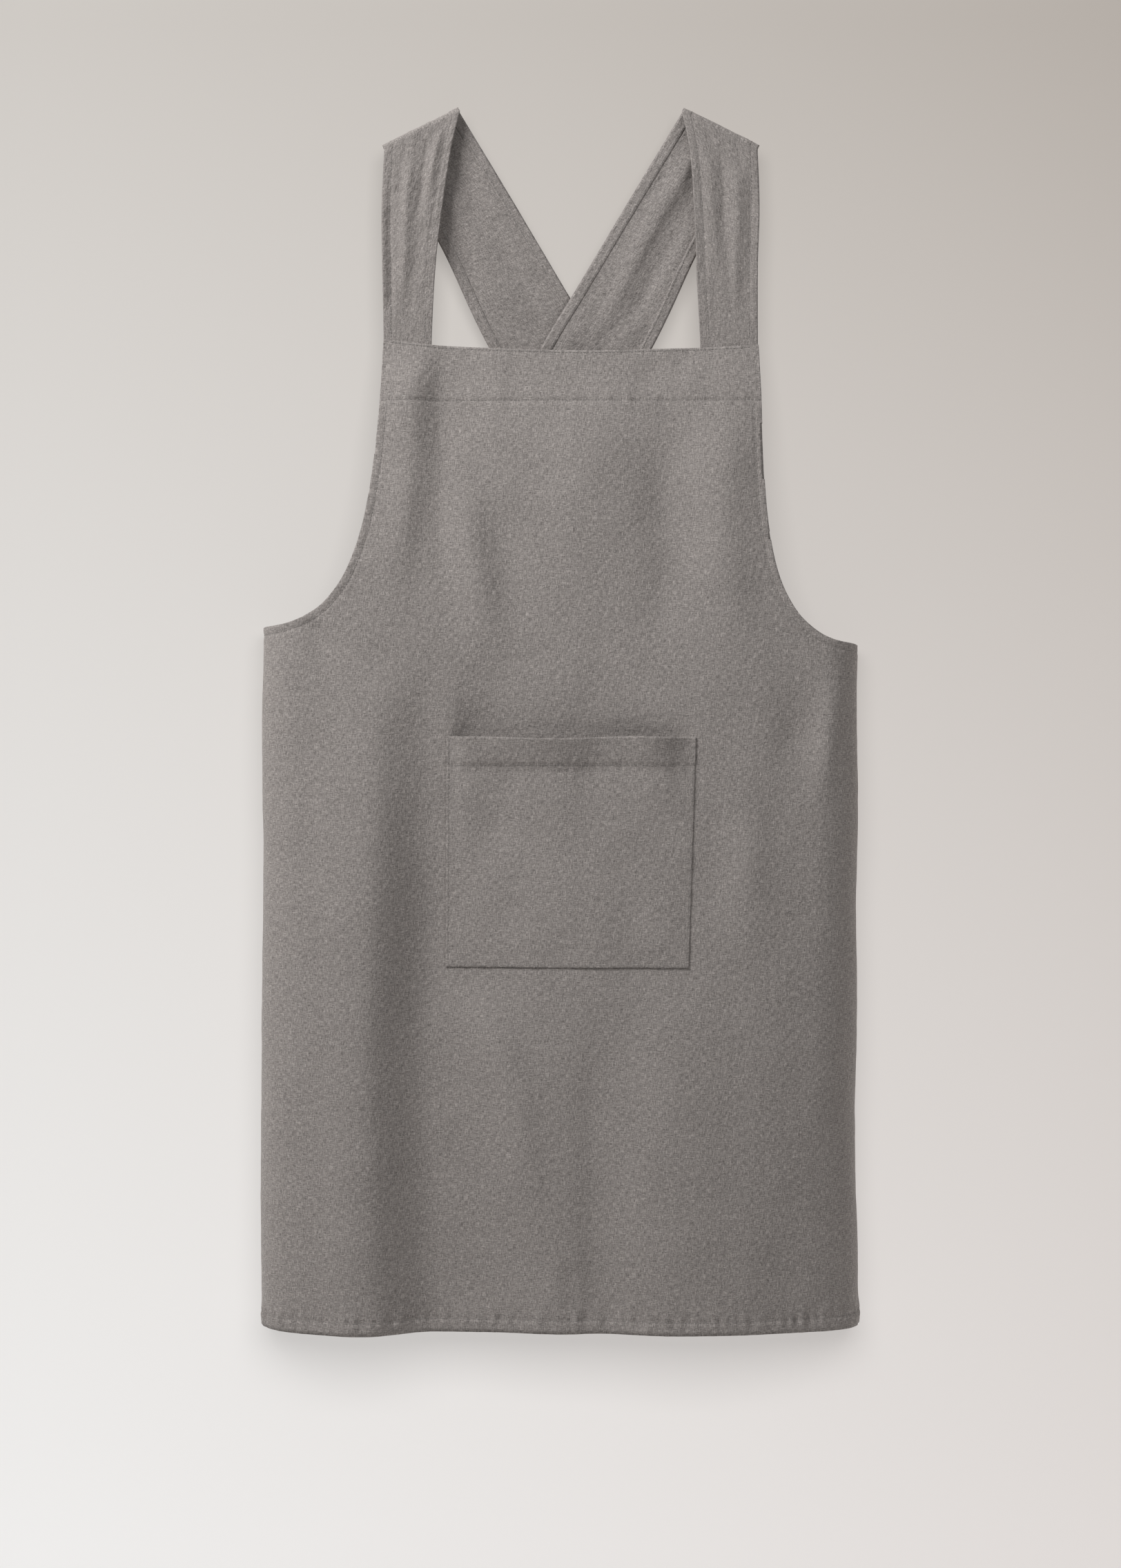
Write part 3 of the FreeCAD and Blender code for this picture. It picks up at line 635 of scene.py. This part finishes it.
def pocket_surface(s, z, proud=0.0):
    return front_surface(s, z, pocket_lift(s, z) + proud)


def patch(name, top, low, inset_x, proud, thickness, offset, cells):
    """A four-sided piece between two heights of the pocket, drawn in from its sides."""
    bm, unit = grid(*cells)
    z = low + (top - low) * unit[:, 1]
    _, left, right = pocket_sides(z)
    left, right = left + inset_x, right - inset_x
    s = left + (right - left) * unit[:, 0]
    if not inset_x:               # the mouth of the pocket itself sags between its corners
        sag = 0.0022 * bell(s, -0.015, 0.045) + 0.0010 * bell(s, 0.09, 0.02)
        z = z - sag * unit[:, 1] ** 8
    place(bm, pocket_surface(s, z, proud)[0])
    return cloth_object(name, bm, np.stack([s + 0.003, z + 0.001], 1), thickness, offset)


pocket = patch("pocket_cloth", POCKET_TOP, POCKET_BOTTOM, 0.0, 0.0, POCKET_PLY, -1.0, (132, 122))
dress(pocket, "apron", "linen", "pocket_panel")
pocket_band = patch("pocket_band_cloth", POCKET_TOP - 0.003, POCKET_ROW, 0.011, INSIDE, TURNED, 0.0, (70, 9))
dress(pocket_band, "apron", "linen", "pocket_facing")

# ---- back panels ------------------------------------------------------------------------------
# Two loose panels from the side seams towards the middle, against the wall. The straps land on
# their top hems. They hang in soft upright waves and don't meet.

BACK_HEM = 0.010
SEAM_HALF = 0.0045                # half the width of a side seam


def back_bounds(side_name):
    """The x of a back panel's seam and of its free edge, and its height."""
    low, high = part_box(f"{side_name}_back_panel")
    return (low.x, high.x, high.z) if side_name == "left" else (high.x, low.x, high.z)


def back_surface(side_name):
    """The surface of a back panel in (x, z), with its outward side to the wall."""
    seam, edge, top = back_bounds(side_name)
    side = -1 if side_name == "left" else 1

    def surface(x, z, proud=0.0):
        share = (x - seam) / (edge - seam)
        hang = step(z, top - 0.03, top - 0.24)
        points = np.stack([x, z], 1)
        wave = -0.0055 * (1 + ripple(points * [1, 0.25], (0.045, 0.10), 50 + side))
        wave = wave * hang * step(share, 0.04, 0.35)
        s = side * (wrap_end(side, z) + 0 * x)
        joined = front_surface(s, np.minimum(z, outline_height(s) - 1e-4))[0]
        carried = (joined[:, 1] - BACK_Y) * step(share, 0.32, 0.0)
        carried_x = (joined[:, 0] - seam) * step(share, 0.32, 0.0)
        rows = stitched(z - HEM_ROW, x, 0.010, 55)
        clear = step(share, 0, 0.1)
        y = BACK_Y + wave + carried + crinkle(x, z, 60) * clear + rows * clear + proud
        return np.stack([x + carried_x, y, z], 1), np.stack([0 * x, 0 * x + 1, 0 * x], 1)

    return surface


def back_panel(side_name):
    seam, edge, top = back_bounds(side_name)
    bm, unit = grid(round(abs(edge - seam) / 0.004), round((top - BOTTOM) / 0.005))
    x = max(seam, edge) - abs(seam - edge) * unit[:, 0]
    z = BOTTOM + (top - BOTTOM) * unit[:, 1]
    place(bm, back_surface(side_name)(x, z)[0])
    return cloth_object(f"{side_name}_back_panel_cloth", bm, np.stack([x, z], 1))


for side, side_name in ((-1, "left"), (1, "right")):
    seam, edge, top = back_bounds(side_name)
    surface = back_surface(side_name)
    shape = dress(back_panel(side_name), "apron", "linen", f"{side_name}_back_panel")
    inner, low, high = edge + side * BACK_HEM, BOTTOM + BOTTOM_HEM, top - BACK_HEM
    lines = [("back_top_hem", (seam, top), (edge, top), (seam, high), (edge, high)),
             ("back_bottom_hem", (seam, BOTTOM), (edge, BOTTOM), (seam, low), (edge, low)),
             ("back_edge_hem", (edge, low), (edge, high), (inner, low), (inner, high)),
             ("side_seam", (seam - SEAM_HALF, low), (seam - SEAM_HALF, high),
              (seam + SEAM_HALF, low), (seam + SEAM_HALF, high))]
    for hem_name, near_start, near_end, far_start, far_end in lines:
        count = 120 if abs(near_end[1] - near_start[1]) > 0.1 else 40
        hem = strip(f"{side_name}_{hem_name}_cloth", surface, straight(near_start, near_end, count),
                    straight(far_start, far_end, count), 3)
        dress(hem, "apron", "linen", f"{side_name}_{hem_name}")

# ---- straps -----------------------------------------------------------------------------------
# Each strap is one hemmed length of linen. It leaves the bib, goes up over its hook's rod, comes
# down behind, crosses the other strap and is sewn to the back panel on the far side.

ROD_Y = -0.026
FOLD = 0.0047                     # radius of the fold's outer face
RIDGE = ((0.171, 0.082), (0.1025, 0.116))      # top of the fold at its outer and its inner end
STRAP_WIDTH = 0.0765
STRAP_HEM = 0.010
FRONT_OUTER = {-1: [(0.1695, -0.112), (0.1695, -0.090), (0.1706, -0.030), (0.1712, 0.025)],
               1: [(0.1690, -0.117), (0.1690, -0.095), (0.1690, -0.030), (0.1705, 0.025)]}
FRONT_INNER = {-1: [(0.1260, -0.112), (0.1258, -0.090), (0.1235, -0.043), (0.1195, 0.000), (0.1095, 0.071)],
               1: [(0.1170, -0.117), (0.1168, -0.095), (0.1140, -0.043), (0.1125, 0.000), (0.1080, 0.071)]}
BACK_LEAN = {-1: 0.035, 1: 0.006}
BIB_SETBACK = {-1: 0.0105, 1: 0.0050}
LANDING = 0.025                   # length sewn to the back panel
BIB_CORNER = TOP_EDGE[0][1]
FRONT_ROWS, FOLD_ROWS, BACK_ROWS = 76, 13, 190
FIRST_BACK = FRONT_ROWS + FOLD_ROWS
LAST_ROW = FIRST_BACK + BACK_ROWS - 1


def ridge_axis(side):
    """Both ends of the fold's axis, outer first, and the upward direction square to it, as (x, z)."""
    outer, inner = (np.array([side * x, z]) for x, z in RIDGE)
    along = (inner - outer) / np.linalg.norm(inner - outer)
    up = np.array([side * along[1], -side * along[0]])
    return outer - up * FOLD, inner - up * FOLD, up


def landing_height(side):
    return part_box("right_back_panel" if side < 0 else "left_back_panel")[1].z


def strap_lines(side):
    """Rows of the strap: both edges and the outward direction, from the tucked end to the landing."""
    axis_outer, axis_inner, up = ridge_axis(side)
    flip = np.array([side, 1])
    outer = smooth_line([*(np.array(FRONT_OUTER[side]) * flip), axis_outer], FRONT_ROWS)
    inner = smooth_line([*(np.array(FRONT_INNER[side]) * flip), axis_inner], FRONT_ROWS)
    drop = BIB_CORNER - landing_height(side) + LANDING
    lower = [axis_outer, (side * 0.1185, -0.008), (side * 0.077, BIB_CORNER)]
    upper = [axis_inner, (side * 0.050, 0.0285), (0.0, -0.0554), (-side * 0.024, BIB_CORNER)]
    for down in (drop / 2, drop):
        lower.append((side * (0.077 - 0.55 * down), BIB_CORNER - down))
        upper.append((-side * (0.024 + 0.57 * down), BIB_CORNER - down))
    lower, upper = smooth_line(lower, BACK_ROWS), smooth_line(upper, BACK_ROWS)
    turn = np.linspace(0, math.pi, FOLD_ROWS + 2)[1:-1]
    rows = []
    for a, b in zip(outer, inner):
        rows.append((a, b, ROD_Y - FOLD, (0, -1, 0)))
    for angle in turn:
        lift = up * FOLD * math.sin(angle)
        rows.append((axis_outer + lift, axis_inner + lift, ROD_Y - FOLD * math.cos(angle),
                     (up[0] * math.sin(angle), -math.cos(angle), up[1] * math.sin(angle))))
    for a, b in zip(lower, upper):
        rows.append((a, b, None, (0, 1, 0)))
    return rows, axis_outer, up


def strap_surface(side):
    """Surface of a strap in (u, t), u from its outer edge to its inner one and t along its rows.

    Also the length along it at each row, and the share of its width that a distance takes up."""
    rows, axis_outer, up = strap_lines(side)
    a = np.array([row[0] for row in rows])
    b = np.array([row[1] for row in rows])
    facing = np.array([row[3] for row in rows], float)
    known = np.array([np.nan if row[2] is None else row[2] for row in rows])
    middle = (a + b) / 2
    length = np.concatenate([[0], np.cumsum(np.linalg.norm(np.diff(middle, axis=0), axis=1) + 1e-4)])
    widths = np.linalg.norm(b - a, axis=1)
    spots = np.arange(len(rows))
    high = ROD_Y + FOLD
    landing = BACK_Y - 0.0022

    def behind(x, z):
        """Depth of the strap's outer face behind the rod: it leans in to the back panel's top."""
        below = (axis_outer[0] - x) * up[0] + (axis_outer[1] - z) * up[1]
        leg = high + BACK_LEAN[side] * below
        low = ROD_Y + BIB_SETBACK[side] + 0.0008
        share = np.clip((BIB_CORNER - z) / (BIB_CORNER - landing_height(side)), 0, 1)
        lower = low + (landing - low) * share
        mix = step(z, BIB_CORNER + 0.02, BIB_CORNER - 0.02)
        return leg * (1 - mix) + lower * mix

    def width_share(t, distance):
        return distance / np.interp(t, spots, widths)

    def surface(u, t, proud=0.0):
        def pick(values):
            return np.interp(t, spots, values)

        edge_a = np.stack([pick(a[:, 0]), pick(a[:, 1])], 1)
        edge_b = np.stack([pick(b[:, 0]), pick(b[:, 1])], 1)
        flat = edge_a * (1 - u)[:, None] + edge_b * u[:, None]
        normal = np.stack([pick(facing[:, i]) for i in range(3)], 1)
        normal /= np.linalg.norm(normal, axis=1)[:, None]
        y = np.interp(t, spots[:FIRST_BACK], known[:FIRST_BACK])
        is_back = t >= FIRST_BACK - 1e-6
        y = np.where(is_back, behind(flat[:, 0], flat[:, 1]), y)
        run = pick(length)
        points = np.stack([u * STRAP_WIDTH, run], 1)
        near_fold = 1 - bell(t, FRONT_ROWS + FOLD_ROWS / 2, 14)
        front = step(t, FRONT_ROWS + 2, FRONT_ROWS - 6)
        sewn = step(flat[:, 1], landing_height(side) + 0.05, landing_height(side)) * is_back
        out = 0.0010 * ripple(points, (0.011, 0.060), 70 + side)
        out += 0.0006 * ripple(points, (0.022, 0.022), 73 + side)
        out = out * (0.35 + 0.65 * near_fold) * (1 - 0.8 * sewn)
        out += crinkle(points[:, 0], points[:, 1], 80 + side)
        out += creases(FRONT_CREASES[side], u, flat[:, 1]) * front
        width = np.linalg.norm(edge_b - edge_a, axis=1)
        rim = np.minimum(u, 1 - u) * width
        hem_relief = stitched(rim - STRAP_HEM + EDGE_STITCH, run, 0.006, 76 + side) * near_fold * (1 - sewn)
        out += hem_relief * (0.25 + 0.75 * front) - creases(BACK_CREASES[side], u, flat[:, 1]) * is_back
        tuck = step(flat[:, 1], BIB_CORNER + 0.045, BIB_CORNER + 0.004) * front
        panel_out = bib_relief(flat[:, 0], flat[:, 1])
        out = out * (1 - tuck) + panel_out * tuck
        place_3d = np.stack([flat[:, 0], y, flat[:, 1]], 1)
        return place_3d + normal * (out + proud)[:, None], normal

    return surface, length, width_share


def bib_relief(x, z):
    """How far the bib stands out at its top, for the strap ends that are sewn behind it."""
    z_in = np.minimum(z, outline_height(x) - 0.001)
    return drape(x, z_in) + crinkle(x, z_in)


# Creases run up and down a strap, as (u, height) lines: each as a fold of the panel. Those of the
# front leg stand out to the front, and so do those behind the rod.
FRONT_CREASES = {
    -1: [([(0.40, 0.075), (0.42, -0.060)], 0.0024, 0.09, 0.12, 0.03, 0.04),
         ([(0.12, 0.055), (0.14, -0.080)], -0.0018, 0.06, 0.08, 0.03, 0.03),
         ([(0.60, 0.095), (0.62, 0.010)], -0.0018, 0.05, 0.06, 0.02, 0.03),
         ([(0.76, 0.100), (0.74, 0.030)], 0.0016, 0.05, 0.06, 0.02, 0.03)],
    1: [([(0.30, 0.070), (0.34, -0.070)], 0.0020, 0.10, 0.10, 0.03, 0.04),
        ([(0.52, 0.080), (0.54, -0.020)], -0.0014, 0.05, 0.07, 0.03, 0.04),
        ([(0.74, 0.090), (0.66, -0.050)], 0.0016, 0.08, 0.08, 0.03, 0.04)],
}
BACK_CREASES = {
    -1: [([(0.30, 0.070), (0.38, -0.080)], 0.0016, 0.08, 0.14, 0.03, 0.05),
         ([(0.62, 0.070), (0.66, -0.080)], -0.0012, 0.10, 0.08, 0.03, 0.05)],
    1: [([(0.64, 0.095), (0.52, -0.090)], 0.0026, 0.08, 0.13, 0.03, 0.05),
        ([(0.42, 0.090), (0.30, -0.090)], -0.0018, 0.08, 0.10, 0.03, 0.05)],
}


def creases(folds, u, z):
    return sum(crest(u, z, *values) for values in folds)


def strap_sheet(name, side, surface, length, u_range, cells, proud, thickness, offset):
    """A ply of the strap between two places across it, which may change along the strap."""
    bm, unit = grid(cells, LAST_ROW)
    t = unit[:, 1] * LAST_ROW
    low, high = u_range(t)
    u = low + (high - low) * unit[:, 0] if side < 0 else high - (high - low) * unit[:, 0]
    place(bm, surface(u, t, proud)[0])
    run = np.interp(t, np.arange(LAST_ROW + 1), length)
    return cloth_object(name, bm, np.stack([u * STRAP_WIDTH, run], 1), thickness, offset)


strap_parts = {}
for side, side_name in ((-1, "left"), (1, "right")):
    surface, length, width_share = strap_surface(side)
    strap_parts[side_name] = (surface, width_share)

    def whole(t):
        return 0 * t, 0 * t + 1

    def outer_hem(t):
        return 0.006, width_share(t, STRAP_HEM)

    def inner_hem(t):
        return 1 - width_share(t, STRAP_HEM), 0.994

    strap = strap_sheet(f"{side_name}_strap_cloth", side, surface, length, whole, 44, 0.0, PLY, -1.0)
    dress(strap, None, "linen", f"{side_name}_strap", f"{side_name}_strap_lower")
    hems = [strap_sheet(f"{side_name}_strap_{place_name}_hem_cloth", side, surface, length, span, 6, INSIDE,
                        TURNED, 0.0) for place_name, span in (("outer", outer_hem), ("inner", inner_hem))]
    for hem in hems:
        dress(hem, None, "linen", f"{side_name}_strap_hems", f"{side_name}_strap_lower_hems")
    for piece in (strap, *hems):
        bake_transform(piece)

# ---- stitching --------------------------------------------------------------------------------
# Single rows of lockstitch in thread of the cloth's colour, two millimetres in from the inner
# edges of the hems. Each stitch is its own small bead that lies in the dip the thread pulls.

STITCH = (0.00030, 0.00022, 0.00135)           # half width, half height and half length
PITCH = 0.0033                    # from one stitch to the next
ON_TOP = 0.00012                  # how far the middle of a stitch lies above the cloth


def stitch_rows(name, rows, body, *nodes):
    """Rows of stitches: each row is the places and the outward directions along it."""
    bm = bmesh.new()
    bmesh.ops.create_uvsphere(bm, u_segments=6, v_segments=4, radius=1)
    bead = np.array([vertex.co for vertex in bm.verts])
    bead_faces = [[vertex.index for vertex in face.verts] for face in bm.faces]
    bm.free()
    spots, faces = [], []
    for places, normals in rows:
        length = np.concatenate([[0], np.cumsum(np.linalg.norm(np.diff(places, axis=0), axis=1))])
        stations = np.arange(PITCH / 2, length[-1], PITCH)

        def at(values, where):
            return np.stack([np.interp(where, length, values[:, i]) for i in range(3)], 1)

        centre = at(places, stations)
        along = at(places, stations + 0.001) - at(places, stations - 0.001)
        along /= np.linalg.norm(along, axis=1)[:, None]
        normal = at(normals, stations)
        across = np.cross(along, normal)
        across /= np.linalg.norm(across, axis=1)[:, None]
        normal = np.cross(across, along)
        for c, x_axis, y_axis, z_axis in zip(centre, across, normal, along):
            first = len(bead) * len(spots)
            spots.append(c + sum(np.outer(bead[:, i] * STITCH[i], axis)
                                 for i, axis in enumerate((x_axis, y_axis, z_axis))))
            faces += [[first + index for index in face] for face in bead_faces]
    mesh = bpy.data.meshes.new(name)
    mesh.from_pydata(np.vstack(spots).tolist(), [], faces)
    mesh.shade_smooth()
    piece = add_object(name, mesh)
    return dress(piece, body, "thread", *nodes, material=thread_grey)


def thread_material():
    material, tree, shader = principled("grey_thread", (0.29, 0.27, 0.255), 0.62)
    shader.inputs["Sheen Weight"].default_value = 0.15
    place_node = add_node(tree, "TexCoord")
    twist = add_node(tree, "TexNoise", Scale=2600.0, Detail=1.0)
    bump = add_node(tree, "Bump", Strength=0.3, Distance=0.0001)
    link(tree, [(place_node.outputs["Object"], twist.inputs["Vector"]),
                (twist.outputs["Fac"], bump.inputs["Height"]),
                (bump.outputs["Normal"], shader.inputs["Normal"])])
    return material


thread_grey = thread_material()


def on_front(line, surface=front_surface):
    return surface(line[:, 0], line[:, 1], ON_TOP)


bib_line = OUTLINE[np.abs(OUTLINE[:, 0]) < BIB_HALF - 0.0001]
bib_line = bib_line[bib_line[:, 1] > BAND_BOTTOM + 0.03]
bib_row = inset(evenly(bib_line, 300), EDGE_STITCH)
band_row = straight((edge_at(-1, BAND_ROW) + 0.001, BAND_ROW), (edge_at(1, BAND_ROW) - 0.001, BAND_ROW), 300)
stitch_rows("bib_stitches", [on_front(bib_row[2:-2]), on_front(band_row)], "apron", "bib_stitching")
arm_rows = []
for side in (-1, 1):
    arm = OUTLINE[(OUTLINE[:, 0] * side > 0.15) & (OUTLINE[:, 1] < BAND_BOTTOM + 0.001)]
    arm_rows.append(on_front(inset(evenly(arm, 300), ARMHOLE_HEM - EDGE_STITCH)))
stitch_rows("armhole_stitches", arm_rows, "apron", "armhole_stitching")
hem_row = straight((-wrap_end(-1, HEM_ROW), HEM_ROW), (wrap_end(1, HEM_ROW), HEM_ROW), 500)
stitch_rows("hem_stitches", [on_front(hem_row)], "apron", "hem_stitching")

(left_top, left_low), (right_top, right_low) = POCKET_CORNERS[-1], POCKET_CORNERS[1]
row_low, row_high = POCKET_BOTTOM + EDGE_STITCH, POCKET_TOP - 0.002
corners = [(left_top + EDGE_STITCH, row_high), (left_low + EDGE_STITCH, row_low),
           (right_low - EDGE_STITCH, row_low), (right_top - EDGE_STITCH, row_high)]
pocket_lines = [straight(start, end, 160) for start, end in zip(corners, corners[1:])]
pocket_lines.append(straight((left_top + 0.003, POCKET_ROW), (right_top - 0.003, POCKET_ROW), 160))
pocket_rows = [on_front(line, pocket_surface) for line in pocket_lines]
stitch_rows("pocket_stitches", pocket_rows, "apron", "pocket_stitching")

back_rows = []
for side, side_name in ((-1, "left"), (1, "right")):
    seam, edge, top = back_bounds(side_name)
    surface = back_surface(side_name)
    inner = edge + side * (BACK_HEM - EDGE_STITCH)
    row_top = top - BACK_HEM + EDGE_STITCH
    for start, end in (((seam, row_top), (edge, row_top)), ((inner, row_top), (inner, HEM_ROW)),
                       ((seam, HEM_ROW), (edge, HEM_ROW))):
        back_rows.append(on_front(straight(start, end, 200), surface))
stitch_rows("back_stitches", back_rows, "apron", "back_stitching")

# The hems of a strap show their stitches on both faces behind the rod, and on the outer one in front.
# Both straps' rows are placed by the right one's widths, so those of the left strap, which is
# narrower in front, lie up to 1.3 mm nearer to its edges there than the hem's own row would.
t = np.linspace(0, LAST_ROW, 900)
row_share = strap_parts["right"][1](t, STRAP_HEM - EDGE_STITCH)
end_rows = []
for side_name in ("left", "right"):
    surface = strap_parts[side_name][0]
    rows = []
    for u in (row_share, 1 - row_share):
        places, normals = surface(u, t, ON_TOP)
        shown = (places[:, 2] > BIB_CORNER + 0.001) | (t > FRONT_ROWS)
        rows.append((places[shown], normals[shown]))
        places, normals = surface(u, t, 2 * INSIDE + PLY - ON_TOP)
        behind = t > FIRST_BACK
        rows.append((places[behind], -normals[behind]))
    stitches = stitch_rows(f"{side_name}_strap_stitches", rows, None, f"{side_name}_strap_stitching")
    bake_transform(stitches)
    for back in (2, 10):
        u = np.linspace(0.02, 0.98, 60)
        places, normals = surface(u, 0 * u + LAST_ROW - back, -2.2 * PLY - 0.0005)
        end_rows.append((places, -normals))
stitch_rows("strap_end_stitches", end_rows, "apron", "strap_end_stitching")

panel_width = float(wrap_end(-1, BOTTOM) + wrap_end(1, BOTTOM))

# ---- wall, floor, light and camera -------------------------------------------------------------
# A pale wall behind the apron and a pale floor well below it, lit softly from the left. Part of the wall's
# light is painted: a painted glow, and a painted falloff of light that darkens it towards its upper right.


def painted_light_backdrop():
    """Pale wall with painted light: its colour darkens towards the upper right as a painted falloff of
    light, and more than half of its brightness is a painted glow; seen from behind it lets the view through.
    """
    material = bpy.data.materials.new("pale_wall_painted_light")
    material.use_nodes = True
    tree = material.node_tree
    tree.nodes.clear()
    place_node = add_node(tree, "TexCoord")
    split = add_node(tree, "SeparateXYZ")
    height = add_node(tree, "MapRange", From_Min=-1.2, From_Max=0.2)
    width = add_node(tree, "MapRange", From_Min=-0.5, From_Max=0.5)
    # Painted light: the wall's colour runs from pale at the lower left to darker at the upper right, as if
    # light fell off across it.
    left = add_node(tree, "MixRGB", Color1=(0.84, 0.83, 0.82, 1), Color2=(0.548, 0.520, 0.490, 1))
    right = add_node(tree, "MixRGB", Color1=(0.725, 0.688, 0.668, 1), Color2=(0.410, 0.375, 0.343, 1))
    both = add_node(tree, "MixRGB")
    diffuse = add_node(tree, "BsdfDiffuse")
    # Painted glow: the wall gives off light in its own colour, standing in for light that falls on it.
    painted_glow = add_node(tree, "Emission", Strength=1.15)
    lit = add_node(tree, "MixShader", Fac=0.42)
    clear = add_node(tree, "BsdfTransparent")
    facing = add_node(tree, "NewGeometry")
    mix = add_node(tree, "MixShader")
    out = add_node(tree, "OutputMaterial")
    link(tree, [(place_node.outputs["Object"], split.inputs["Vector"]),
                (split.outputs["Z"], height.inputs["Value"]), (split.outputs["X"], width.inputs["Value"]),
                (height.outputs["Result"], left.inputs[0]), (height.outputs["Result"], right.inputs[0]),
                (width.outputs["Result"], both.inputs[0]), (left.outputs[0], both.inputs[1]),
                (right.outputs[0], both.inputs[2]), (both.outputs[0], diffuse.inputs["Color"]),
                (both.outputs[0], painted_glow.inputs["Color"]), (painted_glow.outputs[0], lit.inputs[1]),
                (diffuse.outputs[0], lit.inputs[2]),
                (facing.outputs["Backfacing"], mix.inputs[0]), (lit.outputs[0], mix.inputs[1]),
                (clear.outputs[0], mix.inputs[2]), (mix.outputs[0], out.inputs["Surface"])])
    return material


def plane(name, corners, material):
    bm = bmesh.new()
    bm.faces.new([bm.verts.new(corner) for corner in corners])
    mesh = bpy.data.meshes.new(name)
    bm.to_mesh(mesh)
    bm.free()
    mesh.materials.append(material)
    piece = add_object(name, mesh)
    return piece


FLOOR = -1.9
WALL_Y = 0.001                    # just behind the hook plates
wall_corners = [(-3, WALL_Y, FLOOR), (3, WALL_Y, FLOOR), (3, WALL_Y, 2.2), (-3, WALL_Y, 2.2)]
wall = plane("wall", wall_corners, painted_light_backdrop())
wall.visible_shadow = False
floor_finish = principled("pale_floor", (0.72, 0.71, 0.70), 0.7)[0]
plane("floor", [(-6, -6, FLOOR), (6, -6, FLOOR), (6, 6, FLOOR), (-6, 6, FLOOR)], floor_finish)


def soft_light(name, position, target, size, power):
    data = bpy.data.lights.new(name, "AREA")
    data.shape = "RECTANGLE"
    data.size, data.size_y = size
    data.energy = power
    light = add_object(name, data)
    light.location = position
    light.rotation_euler = (Vector(target) - Vector(position)).to_track_quat("-Z", "Y").to_euler()
    return light


AIM = (0.0, -0.05, -0.45)


def lights_only(light, piece, state):
    """Makes a light fall on one piece only (INCLUDE) or on everything but it (EXCLUDE)."""
    group = bpy.data.collections.new(light.name + "_group")
    group.objects.link(piece)
    group.collection_objects[0].light_linking.link_state = state
    light.light_linking.receiver_collection = group


# The wall has a light of its own, so it keeps its painted tone (painted glow and painted falloff of light)
# and gets a soft shadow under the hem.
lights_only(soft_light("window", (-1.50, -1.20, 1.35), AIM, (1.2, 1.2), 54), wall, "EXCLUDE")
lights_only(soft_light("room", (2.0, -2.2, 0.6), AIM, (2.2, 2.2), 16), wall, "EXCLUDE")
lights_only(soft_light("wall_wash", (0, -2.6, 0.55), (0, 0, -0.4), (2.6, 1.5), 86), wall, "INCLUDE")
world = bpy.data.worlds.new("room")
world.use_nodes = True
background = world.node_tree.nodes["Background"]
background.inputs["Color"].default_value = (0.98, 0.99, 1.0, 1)
background.inputs["Strength"].default_value = 0.10
bpy.context.scene.world = world
bpy.context.scene.view_settings.view_transform = "Standard"

VIEW_HEIGHT = 1.4005              # height of the view at the cloth's middle depth
VIEW_DISTANCE = 2.3
CLOTH_DEPTH = -0.060
camera_data = bpy.data.cameras.new("camera")
camera_data.sensor_width = 36.0
camera_data.lens = 36.0 * VIEW_DISTANCE / VIEW_HEIGHT
camera = add_object("camera", camera_data)
camera.location = (-0.00945, CLOTH_DEPTH - VIEW_DISTANCE, -0.497)
camera.rotation_euler = (math.pi / 2, 0, 0)
bpy.context.scene.camera = camera
